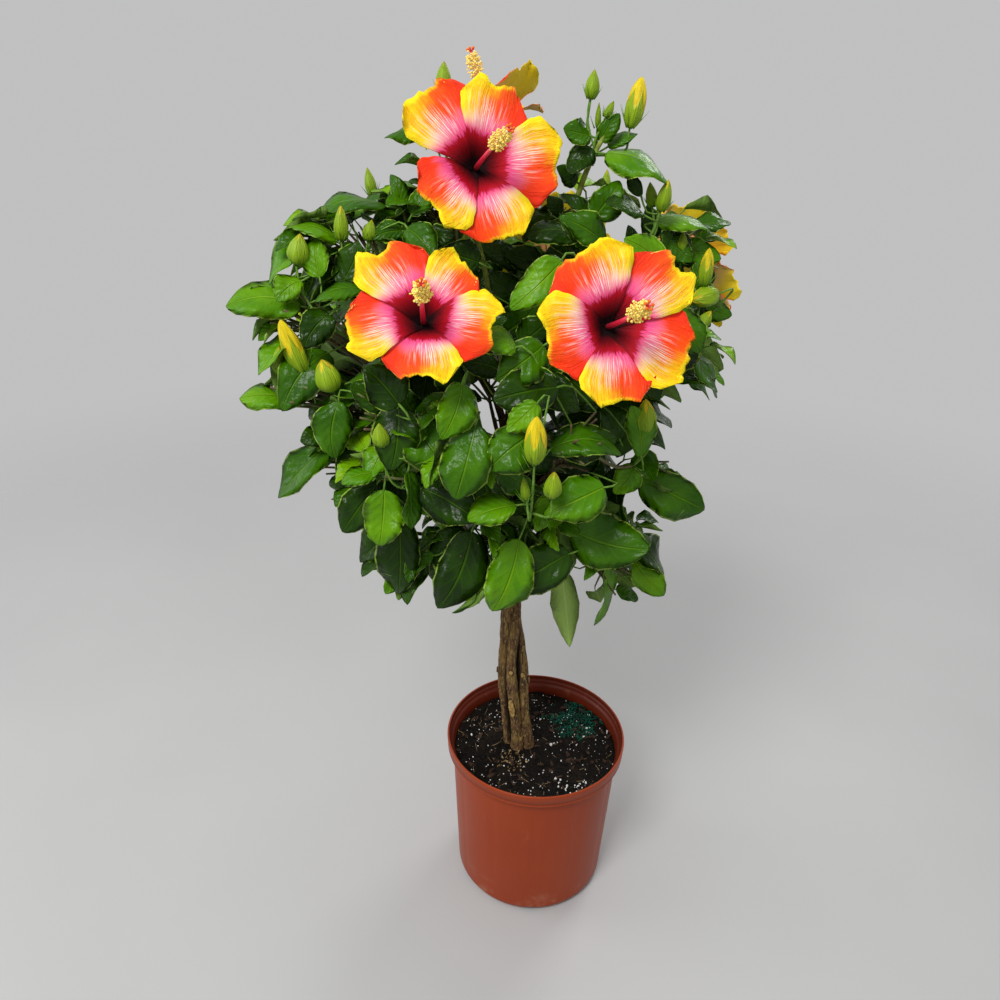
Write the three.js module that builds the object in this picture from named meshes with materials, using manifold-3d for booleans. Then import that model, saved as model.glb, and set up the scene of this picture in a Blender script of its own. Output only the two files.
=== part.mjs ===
// A braided-trunk hibiscus, trained as a small tree, in its nursery pot.
//
// Millimetres, +Z up. The origin is the centre of the pot's flat underside; -Y is the side that
// shows most of the blooms. Each sub-part is one closed solid in one named mesh: the pot, the
// potting mix, the braided trunk, the leaders and boughs, the masses of foliage and the blooms.
import * as THREE from 'three';
import { mergeVertices } from 'three/addons/utils/BufferGeometryUtils.js';
import Module from 'manifold-3d';

const wasm = await Module();
wasm.setup();

// ---- Driving dimensions ----------------------------------------------------------------------

const GAP = 0.35; // clearance between solids that touch in the real plant

const pot = {
  height: 244,
  rimRadius: 127,
  lipHeight: 20,
  lipOverhang: 8.5,
  baseRadius: 109,
  heel: 13, // radius of the rounded edge under the wall
  wall: 2.4,
  steps: 24, // facets round the pot
  drains: 6,
  drainRadius: 6.5,
};
const soilTop = 221;

const trunk = {
  foot: new THREE.Vector3(-25, 5, soilTop + GAP),
  fork: new THREE.Vector3(-46, 0, 612),
  strands: 5,
  strandRadius: 9.4,
  twist: 0.8, // turns that the braid makes on its way up
  flare: 1.32, // how much thicker each strand is where it enters the soil
};

const crown = {
  axis: new THREE.Vector3(-55, 0, 0), // the upright line that the crown is built round
  unevenness: 0.13, // how far a mass's surface wanders, as a share of its half-size
};

const limbs = {
  leaderRadius: 6.5,
  boughRadius: 3.6,
  tipShare: 0.55, // the tip's radius, as a share of the foot's
  sides: 5,
  steps: 3,
};

const bloomSize = {
  radius: 76,
  throatDepth: 27,
  calyxLength: 26,
  calyxRadius: 8,
  columnLength: 78,
  columnRadius: 3.2,
  stalkRadius: 2.1,
  thickness: 5,
};

// Each mass of foliage: its bearing round the crown's axis in degrees (0 is +X and 90 is +Y), its
// reach from that axis, its height, and its half-sizes out from the axis, round it and upright.
const masses = {
  upper_left: { bearing: 198, reach: 168, height: 925, half: [70, 62, 50] },
  left_high: { bearing: 202, reach: 232, height: 858, half: [66, 58, 42] },
  left: { bearing: 208, reach: 232, height: 778, half: [62, 58, 46] },
  front_upper_left: { bearing: 236, reach: 128, height: 862, half: [62, 74, 62] },
  front_left: { bearing: 231, reach: 196, height: 768, half: [56, 72, 58] },
  front: { bearing: 259, reach: 184, height: 742, half: [54, 66, 66] },
  front_right: { bearing: 289, reach: 182, height: 752, half: [54, 70, 68] },
  front_upper_right: { bearing: 315, reach: 142, height: 856, half: [64, 78, 64] },
  right: { bearing: 353, reach: 188, height: 815, half: [54, 70, 66] },
  right_low: { bearing: 336, reach: 184, height: 698, half: [66, 60, 54] },
  low_left: { bearing: 213, reach: 194, height: 690, half: [70, 60, 46] },
  low_left_hanging: { bearing: 221, reach: 152, height: 598, half: [46, 54, 58] },
  low_front: { bearing: 256, reach: 142, height: 626, half: [52, 66, 70] },
  low_front_right: { bearing: 297, reach: 146, height: 652, half: [52, 68, 56] },
  low_right: { bearing: 328, reach: 146, height: 572, half: [66, 60, 88] },
  top_left: { bearing: 168, reach: 82, height: 950, half: [72, 64, 64] },
  top_right: { bearing: 12, reach: 82, height: 938, half: [68, 66, 48] },
  tall_shoot: { bearing: 354, reach: 102, height: 1034, half: [56, 46, 48] },
  upper_right: { bearing: 18, reach: 188, height: 912, half: [64, 64, 52] },
  rear_upper_left: { bearing: 138, reach: 158, height: 868, half: [70, 84, 74] },
  rear_upper_right: { bearing: 66, reach: 148, height: 872, half: [68, 92, 72] },
  rear_left: { bearing: 165, reach: 196, height: 762, half: [66, 80, 74] },
  rear_middle: { bearing: 103, reach: 178, height: 740, half: [62, 96, 78] },
  rear_right: { bearing: 38, reach: 186, height: 748, half: [66, 84, 74] },
  rear_low: { bearing: 96, reach: 116, height: 622, half: [62, 104, 60] },
};

// The five strands of the braid go on as leaders, each ending in the mass that it carries.
const leaders = ['top_right', 'top_left', 'rear_upper_right', 'front_upper_left', 'front_upper_right'];

// The masses that rest against a neighbour and have no bough of their own.
const unboughed = ['low_left_hanging'];

// Each open bloom: the place of its throat, the way that it faces, the mass that its stalk grows
// from, and its size as a share of the full one.
const blooms = {
  top: { throat: [-84, -70, 1004], faces: [0.12, -0.95, 0.24], from: 'top_left', size: 1 },
  left: { throat: [-131, -214, 893], faces: [0.04, -0.84, 0.54], from: 'front_upper_left', size: 0.95 },
  right: { throat: [36, -208, 889], faces: [0.2, -0.92, 0.34], from: 'front_upper_right', size: 0.97 },
  top_rear: { throat: [-86, 62, 1030], faces: [-0.26, 0.4, 0.88], from: 'top_left', size: 0.95 },
  rear_middle: { throat: [-8, 194, 888], faces: [-0.12, 0.92, 0.36], from: 'rear_upper_right', size: 1 },
  rear_right_high: { throat: [146, 154, 902], faces: [0.5, 0.82, 0.26], from: 'upper_right', size: 0.92 },
  rear_right_low: { throat: [172, 104, 846], faces: [0.74, 0.64, 0.2], from: 'right', size: 0.8 },
};

// ---- Solids and geometries --------------------------------------------------------------------

function solidFrom(geometry) {
  const bare = geometry.index ? geometry.toNonIndexed() : geometry.clone();
  bare.deleteAttribute('normal');
  bare.deleteAttribute('uv');
  const merged = mergeVertices(bare, 1e-3);
  return new wasm.Manifold(
    new wasm.Mesh({
      numProp: 3,
      vertProperties: merged.attributes.position.array,
      triVerts: new Uint32Array(merged.index.array),
    }),
  );
}

function geometryFrom(solid) {
  const { numProp, vertProperties, triVerts } = solid.getMesh();
  const corners = new Float32Array(triVerts.length * 3);
  triVerts.forEach((vertex, i) => {
    corners.set(vertProperties.subarray(vertex * numProp, vertex * numProp + 3), i * 3);
  });
  const geometry = new THREE.BufferGeometry();
  geometry.setAttribute('position', new THREE.BufferAttribute(corners, 3));
  geometry.computeVertexNormals();
  return geometry;
}

// The largest body of a solid that cutting may have left in several.
function largestBody(solid) {
  return solid.decompose().reduce((best, body) => (body.volume() > best.volume() ? body : best));
}

// A solid scaled a little about the middle of its box, so that what is cut by it keeps clear.
function grown(solid, share = 1.015) {
  const { min, max } = solid.boundingBox();
  const middle = min.map((low, i) => (low + max[i]) / 2);
  const back = middle.map((value) => -value);
  return solid.translate(back).scale(share).translate(middle);
}

// A closed tube of round section along a smooth curve; radiusAt takes the share of its length.
function limbGeometry(points, radiusAt, sides, steps) {
  const curve = new THREE.CatmullRomCurve3(points);
  const frames = curve.computeFrenetFrames(steps, false);
  const positions = [];
  const faces = [];
  for (let i = 0; i <= steps; i++) {
    const centre = curve.getPointAt(i / steps);
    for (let j = 0; j < sides; j++) {
      const angle = (2 * Math.PI * j) / sides;
      const point = centre
        .clone()
        .addScaledVector(frames.normals[i], radiusAt(i / steps) * Math.cos(angle))
        .addScaledVector(frames.binormals[i], radiusAt(i / steps) * Math.sin(angle));
      positions.push(...point);
    }
  }
  positions.push(...curve.getPointAt(0), ...curve.getPointAt(1));
  const first = (steps + 1) * sides;
  for (let j = 0; j < sides; j++) {
    const next = (j + 1) % sides;
    for (let i = 0; i < steps; i++) {
      const [a, b] = [i * sides + j, i * sides + next];
      faces.push(a, b, b + sides, a, b + sides, a + sides);
    }
    faces.push(first, next, j, first + 1, steps * sides + j, steps * sides + next);
  }
  const geometry = new THREE.BufferGeometry();
  geometry.setAttribute('position', new THREE.Float32BufferAttribute(positions, 3));
  geometry.setIndex(faces);
  return geometry;
}

// A solid turned round Z from a profile of [radius, height] that starts and ends on the axis.
function turned(profile, steps) {
  const points = profile.map(([radius, height]) => new THREE.Vector2(radius, height));
  const geometry = new THREE.LatheGeometry(points, steps);
  return solidFrom(geometry.rotateX(Math.PI / 2));
}

// A quarter round, as [radius, height] points, that turns about a centre from one angle to another.
function arc(radius, height, size, from, to, steps) {
  return Array.from({ length: steps + 1 }, (_, i) => {
    const angle = THREE.MathUtils.degToRad(THREE.MathUtils.lerp(from, to, i / steps));
    return [radius + size * Math.cos(angle), height + size * Math.sin(angle)];
  });
}

// ---- Pot and potting mix ----------------------------------------------------------------------

const wallTopRadius = pot.rimRadius - pot.lipOverhang;
const lipFoot = pot.height - pot.lipHeight;

// The radius of the pot's outer wall at a height, from the heel up to the lip.
function wallRadius(height) {
  return THREE.MathUtils.mapLinear(height, pot.heel, lipFoot, pot.baseRadius, wallTopRadius);
}

function potSolid() {
  const heelCentre = pot.baseRadius - pot.heel;
  const shell = turned(
    [
      [0, 0],
      ...arc(heelCentre, pot.heel, pot.heel, -90, 0, 3),
      [wallTopRadius, lipFoot],
      [pot.rimRadius, lipFoot + 2],
      [pot.rimRadius, pot.height - 1.5],
      [pot.rimRadius - 1.5, pot.height],
      [pot.rimRadius - pot.wall, pot.height],
      [pot.rimRadius - pot.wall, lipFoot + 5],
      [wallTopRadius - pot.wall, lipFoot + 1],
      [pot.baseRadius - pot.wall, pot.heel],
      ...arc(heelCentre, pot.heel, pot.heel - pot.wall, 0, -90, 3).slice(1),
      [0, pot.wall],
    ],
    pot.steps,
  );
  const length = 3 * pot.heel;
  const drill = solidFrom(new THREE.CylinderGeometry(pot.drainRadius, pot.drainRadius, length, 6));
  let drilled = shell;
  for (let i = 0; i < pot.drains; i++) {
    const hole = drill
      .rotate([0, 0, 90])
      .translate([heelCentre + length / 2, 0, pot.heel / 2])
      .rotate([0, 0, (360 * (i + 0.5)) / pot.drains]);
    drilled = drilled.subtract(hole);
  }
  return drilled;
}

function mixSolid() {
  const inset = pot.wall + GAP;
  const heelCentre = pot.baseRadius - pot.heel;
  return turned(
    [
      [0, inset],
      ...arc(heelCentre, pot.heel, pot.heel - inset, -90, 0, 3),
      [wallRadius(soilTop) - inset, soilTop],
      [0, soilTop],
    ],
    pot.steps,
  );
}

// ---- Braided trunk ----------------------------------------------------------------------------

// How far the strands stand from the middle of the braid: spread at the foot, full at a quarter
// of the height, drawn in at two thirds, and parting again at the fork.
function braidRadius(share) {
  const belly = 14.5 - 4 * Math.sin(Math.PI * (share - 0.15));
  const footSpread = 3.5 * Math.exp(-share / 0.06);
  const forkSpread = 4 * Math.exp(-(1 - share) / 0.08);
  return belly + footSpread + forkSpread;
}

function strandAngle(strand, share) {
  return 2 * Math.PI * (strand / trunk.strands + trunk.twist * share);
}

function strandPoint(strand, share) {
  const angle = strandAngle(strand, share);
  const middle = trunk.foot.clone().lerp(trunk.fork, share);
  middle.x += 7 * Math.sin(Math.PI * share);
  middle.x += braidRadius(share) * Math.cos(angle);
  middle.y += braidRadius(share) * Math.sin(angle);
  return middle;
}

function strandRadius(share) {
  const flare = 1 + (trunk.flare - 1) * Math.exp(-share / 0.05);
  return trunk.strandRadius * flare * (1 - 0.18 * share);
}

function trunkSolid(extra = 0) {
  const rows = 8; // lengths that each strand is made in
  const shares = Array.from({ length: rows + 1 }, (_, i) => i / rows);
  const belowSoil = new THREE.Vector3(0, 0, -6);
  const middle = shares.map((share) => {
    return strandPoint(0, share).add(strandPoint(2, share)).add(strandPoint(3, share)).divideScalar(3);
  });
  let solid = solidFrom(limbGeometry(middle, () => trunk.strandRadius * 0.8 + extra, 5, rows));
  for (let strand = 0; strand < trunk.strands; strand++) {
    const points = shares.map((share) => strandPoint(strand, share));
    points.unshift(points[0].clone().add(belowSoil));
    const radius = (share) => strandRadius(share) + extra;
    solid = solid.add(solidFrom(limbGeometry(points, radius, 5, rows + 1)));
  }
  return largestBody(solid.trimByPlane([0, 0, 1], trunk.foot.z));
}

// ---- Masses of foliage ------------------------------------------------------------------------

// A point at a bearing, reach and height from the crown's axis.
function crownPoint({ bearing, reach, height }) {
  const angle = THREE.MathUtils.degToRad(bearing);
  return new THREE.Vector3(reach * Math.cos(angle), reach * Math.sin(angle), height).add(crown.axis);
}

// A smooth uneven field over directions, different for each seed, between about -1 and 1.
function wander(direction, seed) {
  let value = 0;
  for (let wave = 1; wave <= 3; wave++) {
    const phase = seed * 2.4 + wave * 1.7;
    const pull = direction.x * Math.cos(phase) + direction.y * Math.sin(phase * 1.3);
    value += Math.sin(wave * 2.1 * (pull + direction.z * Math.cos(phase * 0.7)) + phase) / wave;
  }
  return value / 1.8;
}

function massSolid(mass, seed) {
  const geometry = new THREE.OctahedronGeometry(1, 3);
  const position = geometry.attributes.position;
  const point = new THREE.Vector3();
  for (let i = 0; i < position.count; i++) {
    point.fromBufferAttribute(position, i).normalize();
    const size = 1 + crown.unevenness * wander(point, seed);
    point.multiply(new THREE.Vector3(...mass.half)).multiplyScalar(size);
    position.setXYZ(i, ...point);
  }
  geometry.rotateZ(THREE.MathUtils.degToRad(mass.bearing));
  geometry.translate(...crownPoint(mass));
  return solidFrom(geometry);
}

// Half the width of a mass's ellipsoid along a unit direction.
function reachAlong(mass, direction) {
  const angle = THREE.MathUtils.degToRad(-mass.bearing);
  const local = direction.clone().applyAxisAngle(new THREE.Vector3(0, 0, 1), angle);
  return local.multiply(new THREE.Vector3(...mass.half)).length();
}

// Cuts a mass back to the plane half-way between it and a neighbour that it would run into.
function trimTo(solid, mass, neighbour) {
  const toward = crownPoint(neighbour).sub(crownPoint(mass));
  const distance = toward.length();
  toward.normalize();
  const [own, other] = [reachAlong(mass, toward), reachAlong(neighbour, toward)];
  if ((own + other) * (1 + crown.unevenness) < distance) return solid;
  const middle = (distance ** 2 + own ** 2 - other ** 2) / (2 * distance);
  const cut = THREE.MathUtils.clamp(middle, 0.2 * distance, 0.8 * distance) - GAP / 2;
  const offset = toward.dot(crownPoint(mass)) + cut;
  return solid.trimByPlane(toward.clone().negate().toArray(), -offset);
}

// ---- Leaders and boughs -----------------------------------------------------------------------

// The height at which the limb to a mass leaves the trunk: low masses are carried by limbs that
// leave below the fork.
function leavingHeight(mass) {
  return THREE.MathUtils.mapLinear(mass.height, 580, 1030, 556, trunk.fork.z - 6);
}

function limbPath(name, isLeader) {
  const mass = masses[name];
  const end = crownPoint(mass);
  const start = trunk.fork.clone();
  start.z = isLeader ? trunk.fork.z - 4 : leavingHeight(mass);
  const outward = new THREE.Vector3(end.x - start.x, end.y - start.y, 0).normalize();
  start.addScaledVector(outward, isLeader ? 8 : 12);
  const span = start.distanceTo(end);
  const rise = isLeader ? 0.3 : 0.13;
  const quarter = start.clone().lerp(end, 0.3).addScaledVector(outward, (isLeader ? -0.06 : 0.03) * span);
  const half = start.clone().lerp(end, 0.62);
  quarter.z += rise * 0.6 * span;
  half.z += rise * 0.5 * span;
  return [start, quarter, half, end];
}

function limbSolid(name, extra = 0) {
  const isLeader = leaders.includes(name);
  const foot = isLeader ? limbs.leaderRadius : limbs.boughRadius;
  const radius = (share) => foot * THREE.MathUtils.lerp(1, limbs.tipShare, share) + extra;
  return solidFrom(limbGeometry(limbPath(name, isLeader), radius, limbs.sides, limbs.steps));
}

// ---- Blooms -----------------------------------------------------------------------------------

const petalCount = 5;

// The corolla's rim: rounded petals with a notch between each two.
function rimRadius(angle) {
  const lobe = Math.abs(Math.cos((petalCount * angle) / 2));
  return bloomSize.radius * (0.8 + 0.2 * Math.sqrt(lobe));
}

// The corolla as an open dish of five petals, with its throat at the origin, facing +Z.
function corollaSolid() {
  const around = 3 * petalCount;
  const rings = [
    { share: 0.07, height: -bloomSize.throatDepth },
    { share: 0.34, height: -6 },
    { share: 1, height: 3 },
  ];
  const positions = [];
  const faces = [];
  for (const lift of [0, -bloomSize.thickness]) {
    positions.push(0, 0, rings[0].height + lift);
    for (const { share, height } of rings) {
      for (let j = 0; j < around; j++) {
        const angle = (2 * Math.PI * j) / around;
        const radius = rimRadius(angle) * share;
        positions.push(radius * Math.cos(angle), radius * Math.sin(angle), height + lift);
      }
    }
  }
  const back = 1 + rings.length * around;
  const quad = (a, b, c, d) => faces.push(a, b, c, a, c, d);
  for (let j = 0; j < around; j++) {
    const next = (j + 1) % around;
    faces.push(0, 1 + j, 1 + next, back, back + 1 + next, back + 1 + j);
    for (let ring = 0; ring < rings.length - 1; ring++) {
      const [inner, outer] = [1 + ring * around, 1 + (ring + 1) * around];
      quad(inner + j, outer + j, outer + next, inner + next);
      quad(back + inner + j, back + inner + next, back + outer + next, back + outer + j);
    }
    const edge = 1 + (rings.length - 1) * around;
    quad(edge + j, back + edge + j, back + edge + next, edge + next);
  }
  const geometry = new THREE.BufferGeometry();
  geometry.setAttribute('position', new THREE.Float32BufferAttribute(positions, 3));
  geometry.setIndex(faces);
  return solidFrom(geometry);
}

function bloomPlacement({ throat, faces, size }) {
  const turn = new THREE.Quaternion();
  turn.setFromUnitVectors(new THREE.Vector3(0, 0, 1), new THREE.Vector3(...faces).normalize());
  return new THREE.Matrix4().compose(
    new THREE.Vector3(...throat),
    turn,
    new THREE.Vector3(size, size, size),
  );
}

// The corolla with the column that stands out of it, its calyx, and the stalk back to the mass.
function bloomSolid(bloom) {
  const placement = bloomPlacement(bloom);
  const { throatDepth, calyxLength, calyxRadius, columnLength, columnRadius } = bloomSize;
  const flower = corollaSolid()
    .add(
      turned(
        [
          [0, -throatDepth - 2],
          [columnRadius, -throatDepth - 2],
          [columnRadius, columnLength * 0.45],
          [columnRadius * 2.4, columnLength * 0.55],
          [0, columnLength],
        ],
        5,
      ),
    )
    .add(
      turned(
        [
          [0, -throatDepth - calyxLength],
          [calyxRadius * 0.5, -throatDepth - calyxLength],
          [calyxRadius, -throatDepth - 2],
          [0, -throatDepth - 2],
        ],
        5,
      ),
    )
    .transform(placement.elements);
  const calyxFoot = new THREE.Vector3(0, 0, -throatDepth - calyxLength + 4).applyMatrix4(placement);
  const behind = new THREE.Vector3(0, 0, -throatDepth - calyxLength - 22).applyMatrix4(placement);
  const root = crownPoint(masses[bloom.from]);
  behind.z -= 8;
  const stalk = limbGeometry([calyxFoot, behind, root], () => bloomSize.stalkRadius, 4, 4);
  return flower.add(solidFrom(stalk));
}

// The space that a bloom needs clear of leaves: a flat disc about its petals.
function bloomRoom(bloom) {
  const room = new THREE.CylinderGeometry(bloomSize.radius + 3, bloomSize.radius * 0.5, 26, 8);
  room.rotateX(Math.PI / 2).translate(0, 0, 1);
  return solidFrom(room).transform(bloomPlacement(bloom).elements);
}

// ---- Assembly ---------------------------------------------------------------------------------

const looks = {
  pot: new THREE.MeshStandardMaterial({ color: 0x9c4028, roughness: 0.42, metalness: 0 }),
  mix: new THREE.MeshStandardMaterial({ color: 0x1d1814, roughness: 0.95, metalness: 0 }),
  bark: new THREE.MeshStandardMaterial({ color: 0x6d5637, roughness: 0.85, metalness: 0 }),
  foliage: new THREE.MeshStandardMaterial({ color: 0x2b6a18, roughness: 0.4, metalness: 0 }),
  petal: new THREE.MeshStandardMaterial({ color: 0xf57a1c, roughness: 0.55, metalness: 0 }),
};

const plant = new THREE.Group();

function place(name, solid, look) {
  const mesh = new THREE.Mesh(geometryFrom(solid), look);
  mesh.name = name;
  plant.add(mesh);
}

place('pot', potSolid(), looks.pot);
place('potting_mix', mixSolid(), looks.mix);
place('trunk', trunkSolid(), looks.bark);

// The masses, cut to each other, to the limbs that pass them and to the room of the blooms.
const foliage = new Map();
const massNames = Object.keys(masses);
for (const [seed, name] of massNames.entries()) {
  let solid = massSolid(masses[name], seed);
  for (const other of massNames) {
    if (other !== name) solid = trimTo(solid, masses[name], masses[other]);
  }
  for (const limb of massNames) {
    if (limb !== name && !unboughed.includes(limb)) solid = solid.subtract(limbSolid(limb, 2 * GAP));
  }
  for (const bloom of Object.values(blooms)) solid = solid.subtract(bloomRoom(bloom));
  foliage.set(name, largestBody(solid));
}

// The limbs, leaders first, each cut clear of the trunk, of those before it and of the foliage.
const clearOfTrunk = trunkSolid(GAP);
const limbNames = [
  ...leaders,
  ...massNames.filter((name) => !leaders.includes(name) && !unboughed.includes(name)),
];
for (const [order, name] of limbNames.entries()) {
  let solid = limbSolid(name).subtract(clearOfTrunk);
  for (const earlier of limbNames.slice(0, order)) solid = solid.subtract(limbSolid(earlier, GAP));
  solid = solid.subtract(grown(foliage.get(name)));
  const kind = leaders.includes(name) ? 'leader' : 'bough';
  place(`${kind}_${name}`, largestBody(solid), looks.bark);
}

for (const [name, bloom] of Object.entries(blooms)) {
  let solid = bloomSolid(bloom);
  for (const mass of foliage.values()) solid = solid.subtract(grown(mass));
  place(`bloom_${name}`, largestBody(solid), looks.petal);
}

for (const [name, solid] of foliage) place(`foliage_${name}`, solid, looks.foliage);

export default plant;
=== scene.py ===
# A hibiscus trained as a small tree, with a braided trunk, in its round nursery pot.
#
# The plant is built from the ground up: pot, potting mix, braided trunk, limbs, shoots with their
# leaves, open blooms, and buds. Lengths are in metres and angles in radians unless a name says
# otherwise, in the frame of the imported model: +Z up, -Y the side where the three big blooms face.
import math
import random

import bmesh
import bpy
import numpy as np
from mathutils import Matrix, Vector, noise


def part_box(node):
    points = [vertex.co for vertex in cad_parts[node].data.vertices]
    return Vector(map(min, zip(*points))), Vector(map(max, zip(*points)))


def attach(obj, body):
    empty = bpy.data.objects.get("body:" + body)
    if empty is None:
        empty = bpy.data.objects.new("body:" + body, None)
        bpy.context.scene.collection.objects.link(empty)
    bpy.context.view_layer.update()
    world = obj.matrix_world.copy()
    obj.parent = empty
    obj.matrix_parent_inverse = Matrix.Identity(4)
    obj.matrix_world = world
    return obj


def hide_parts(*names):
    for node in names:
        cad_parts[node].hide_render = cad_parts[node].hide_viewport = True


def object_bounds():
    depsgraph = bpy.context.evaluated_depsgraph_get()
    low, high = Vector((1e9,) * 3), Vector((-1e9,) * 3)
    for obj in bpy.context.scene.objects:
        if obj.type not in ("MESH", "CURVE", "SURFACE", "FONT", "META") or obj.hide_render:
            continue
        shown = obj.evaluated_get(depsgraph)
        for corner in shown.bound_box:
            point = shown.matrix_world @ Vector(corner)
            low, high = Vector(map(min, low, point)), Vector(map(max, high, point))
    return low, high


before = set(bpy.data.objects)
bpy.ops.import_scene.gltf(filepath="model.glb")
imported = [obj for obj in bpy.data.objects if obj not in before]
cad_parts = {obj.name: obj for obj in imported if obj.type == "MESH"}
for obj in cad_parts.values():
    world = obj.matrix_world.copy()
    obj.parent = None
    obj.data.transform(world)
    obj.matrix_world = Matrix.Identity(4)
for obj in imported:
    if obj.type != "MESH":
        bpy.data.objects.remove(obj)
cad_low, cad_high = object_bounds()
MM = 0.001

# ---- Camera ------------------------------------------------------------------------------------
# It stands in front of the plant at the height of the crown's top, looks down on the pot, and
# leans over a little to one side, as a hand-held camera does.

LOOK_DOWN = math.radians(26.31)
LEAN = math.radians(1.66)
CAMERA_STAND = (-0.061, -0.912, 1.064)

ahead = Vector((0, math.cos(LOOK_DOWN), -math.sin(LOOK_DOWN)))
upright = Vector((0, math.sin(LOOK_DOWN), math.cos(LOOK_DOWN)))
right = Vector((1, 0, 0))
lean_right = math.cos(LEAN) * right + math.sin(LEAN) * upright
lean_up = math.cos(LEAN) * upright - math.sin(LEAN) * right
camera_data = bpy.data.cameras.new("camera")
camera_data.sensor_width = 36
camera_data.lens = 29.45
camera = bpy.data.objects.new("camera", camera_data)
turn = Matrix((lean_right, lean_up, -ahead)).transposed().to_4x4()
camera.matrix_world = Matrix.Translation(CAMERA_STAND) @ turn
bpy.context.scene.collection.objects.link(camera)
bpy.context.scene.camera = camera

# ---- Floor and light ---------------------------------------------------------------------------
# A pale, smooth studio floor that fades into a plain pale surround, lit by one large soft lamp in
# front and above, a second from the left and a weak one from behind that rims the leaves. The
# floor is the first thing with a finish, so what finishes are written in comes first.


class Number:
    """One number over a surface, whose sums and products add nodes to its finish."""

    def __init__(self, finish, socket):
        self.finish = finish
        self.socket = socket

    def maths(self, operation, *values):
        sockets = dict(enumerate(values))
        return self.finish.node("ShaderNodeMath", {"operation": operation}, sockets)

    def __add__(self, other):
        return self.maths("ADD", self, other)

    def __sub__(self, other):
        return self.maths("SUBTRACT", self, other)

    def __rsub__(self, other):
        return self.maths("SUBTRACT", other, self)

    def __mul__(self, other):
        return self.maths("MULTIPLY", self, other)

    def __abs__(self):
        return self.maths("ABSOLUTE", self)

    __radd__ = __add__
    __rmul__ = __mul__

    def between(self, low, high):
        """0 below low, 1 above high and a smooth step between them; high may be the lower."""
        sockets = {"Value": self, "From Min": low, "From Max": high}
        return self.finish.node("ShaderNodeMapRange", {"interpolation_type": "SMOOTHSTEP"}, sockets)

    def largest(self, other):
        """The larger of the two at each point."""
        return self.maths("MAXIMUM", self, other)

    def wave(self):
        """Its sine."""
        return self.maths("SINE", self)


class Finish:
    """A material. Each node in it comes from node(), with its settings and what its sockets take."""

    def __init__(self, name):
        self.material = bpy.data.materials.new(name)
        self.material.use_nodes = True
        self.tree = self.material.node_tree
        self.tree.nodes.clear()

    def node(self, kind, settings, sockets, output=0):
        made = self.tree.nodes.new(kind)
        for setting, value in settings.items():
            if setting == "stops":
                self.set_stops(made.color_ramp, value)
            else:
                setattr(made, setting, value)
        for key, value in sockets.items():
            self.feed(made.inputs[key], value)
        return Number(self, made.outputs[output]) if made.outputs else None

    def set_stops(self, ramp, stops):
        while len(ramp.elements) < len(stops):
            ramp.elements.new(1)
        for element, (place, colour) in zip(ramp.elements, stops):
            element.position = place
            element.color = (*colour, 1)

    def feed(self, socket, value):
        if isinstance(value, Number):
            self.tree.links.new(value.socket, socket)
        elif socket.type == "RGBA":
            socket.default_value = (*value, 1)
        else:
            socket.default_value = value

    def place(self):
        """Where a point is on the finished object."""
        return self.node("ShaderNodeTexCoord", {}, {}, "Object")

    def on_map(self):
        """The two numbers of the piece's own map: across it and along it."""
        both = self.node("ShaderNodeUVMap", {}, {})
        split = self.tree.nodes.new("ShaderNodeSeparateXYZ")
        self.feed(split.inputs[0], both)
        return Number(self, split.outputs[0]), Number(self, split.outputs[1])

    def joined(self, x, y, z):
        """A place made of three numbers."""
        return self.node("ShaderNodeCombineXYZ", {}, {0: x, 1: y, 2: z})

    def mottle(self, at, scale, detail=3.0, roughness=0.5):
        """Cloudy noise from 0 to 1, at so many clouds to the metre."""
        sockets = {"Vector": at, "Scale": scale, "Detail": detail, "Roughness": roughness}
        return self.node("ShaderNodeTexNoise", {}, sockets)

    def rays(self, on_map, across, along, layer=0.0, detail=3.0, roughness=0.5):
        """The same noise drawn out over the piece's map: so many streaks across and along it."""
        where = self.joined(on_map[0] * across, on_map[1] * along, layer)
        return self.mottle(where, 1.0, detail, roughness)

    def mixed(self, share, first, second):
        """The first colour, with a share of the second laid over it."""
        settings = {"data_type": "RGBA", "clamp_factor": True}
        return self.node("ShaderNodeMix", settings, {0: share, 6: first, 7: second}, 2)

    def ramp(self, value, stops):
        """A colour picked by a number from (place, colour) stops."""
        return self.node("ShaderNodeValToRGB", {"stops": stops}, {0: value})

    def raised(self, height, strength, distance):
        """A surface that looks raised where the height is greater."""
        sockets = {"Height": height, "Strength": strength, "Distance": distance}
        return self.node("ShaderNodeBump", {}, sockets)

    def surface(self, **sockets):
        """The shader, with its sockets named as words joined by underscores."""
        named = {name.replace("_", " "): value for name, value in sockets.items()}
        shader = self.node("ShaderNodeBsdfPrincipled", {}, named)
        self.node("ShaderNodeOutputMaterial", {}, {"Surface": shader})
        return self.material


FLOOR_SIZE = 7.0
FADE_START, FADE_END = 0.9, 2.6
SURROUND = (0.53, 0.53, 0.535)

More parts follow.
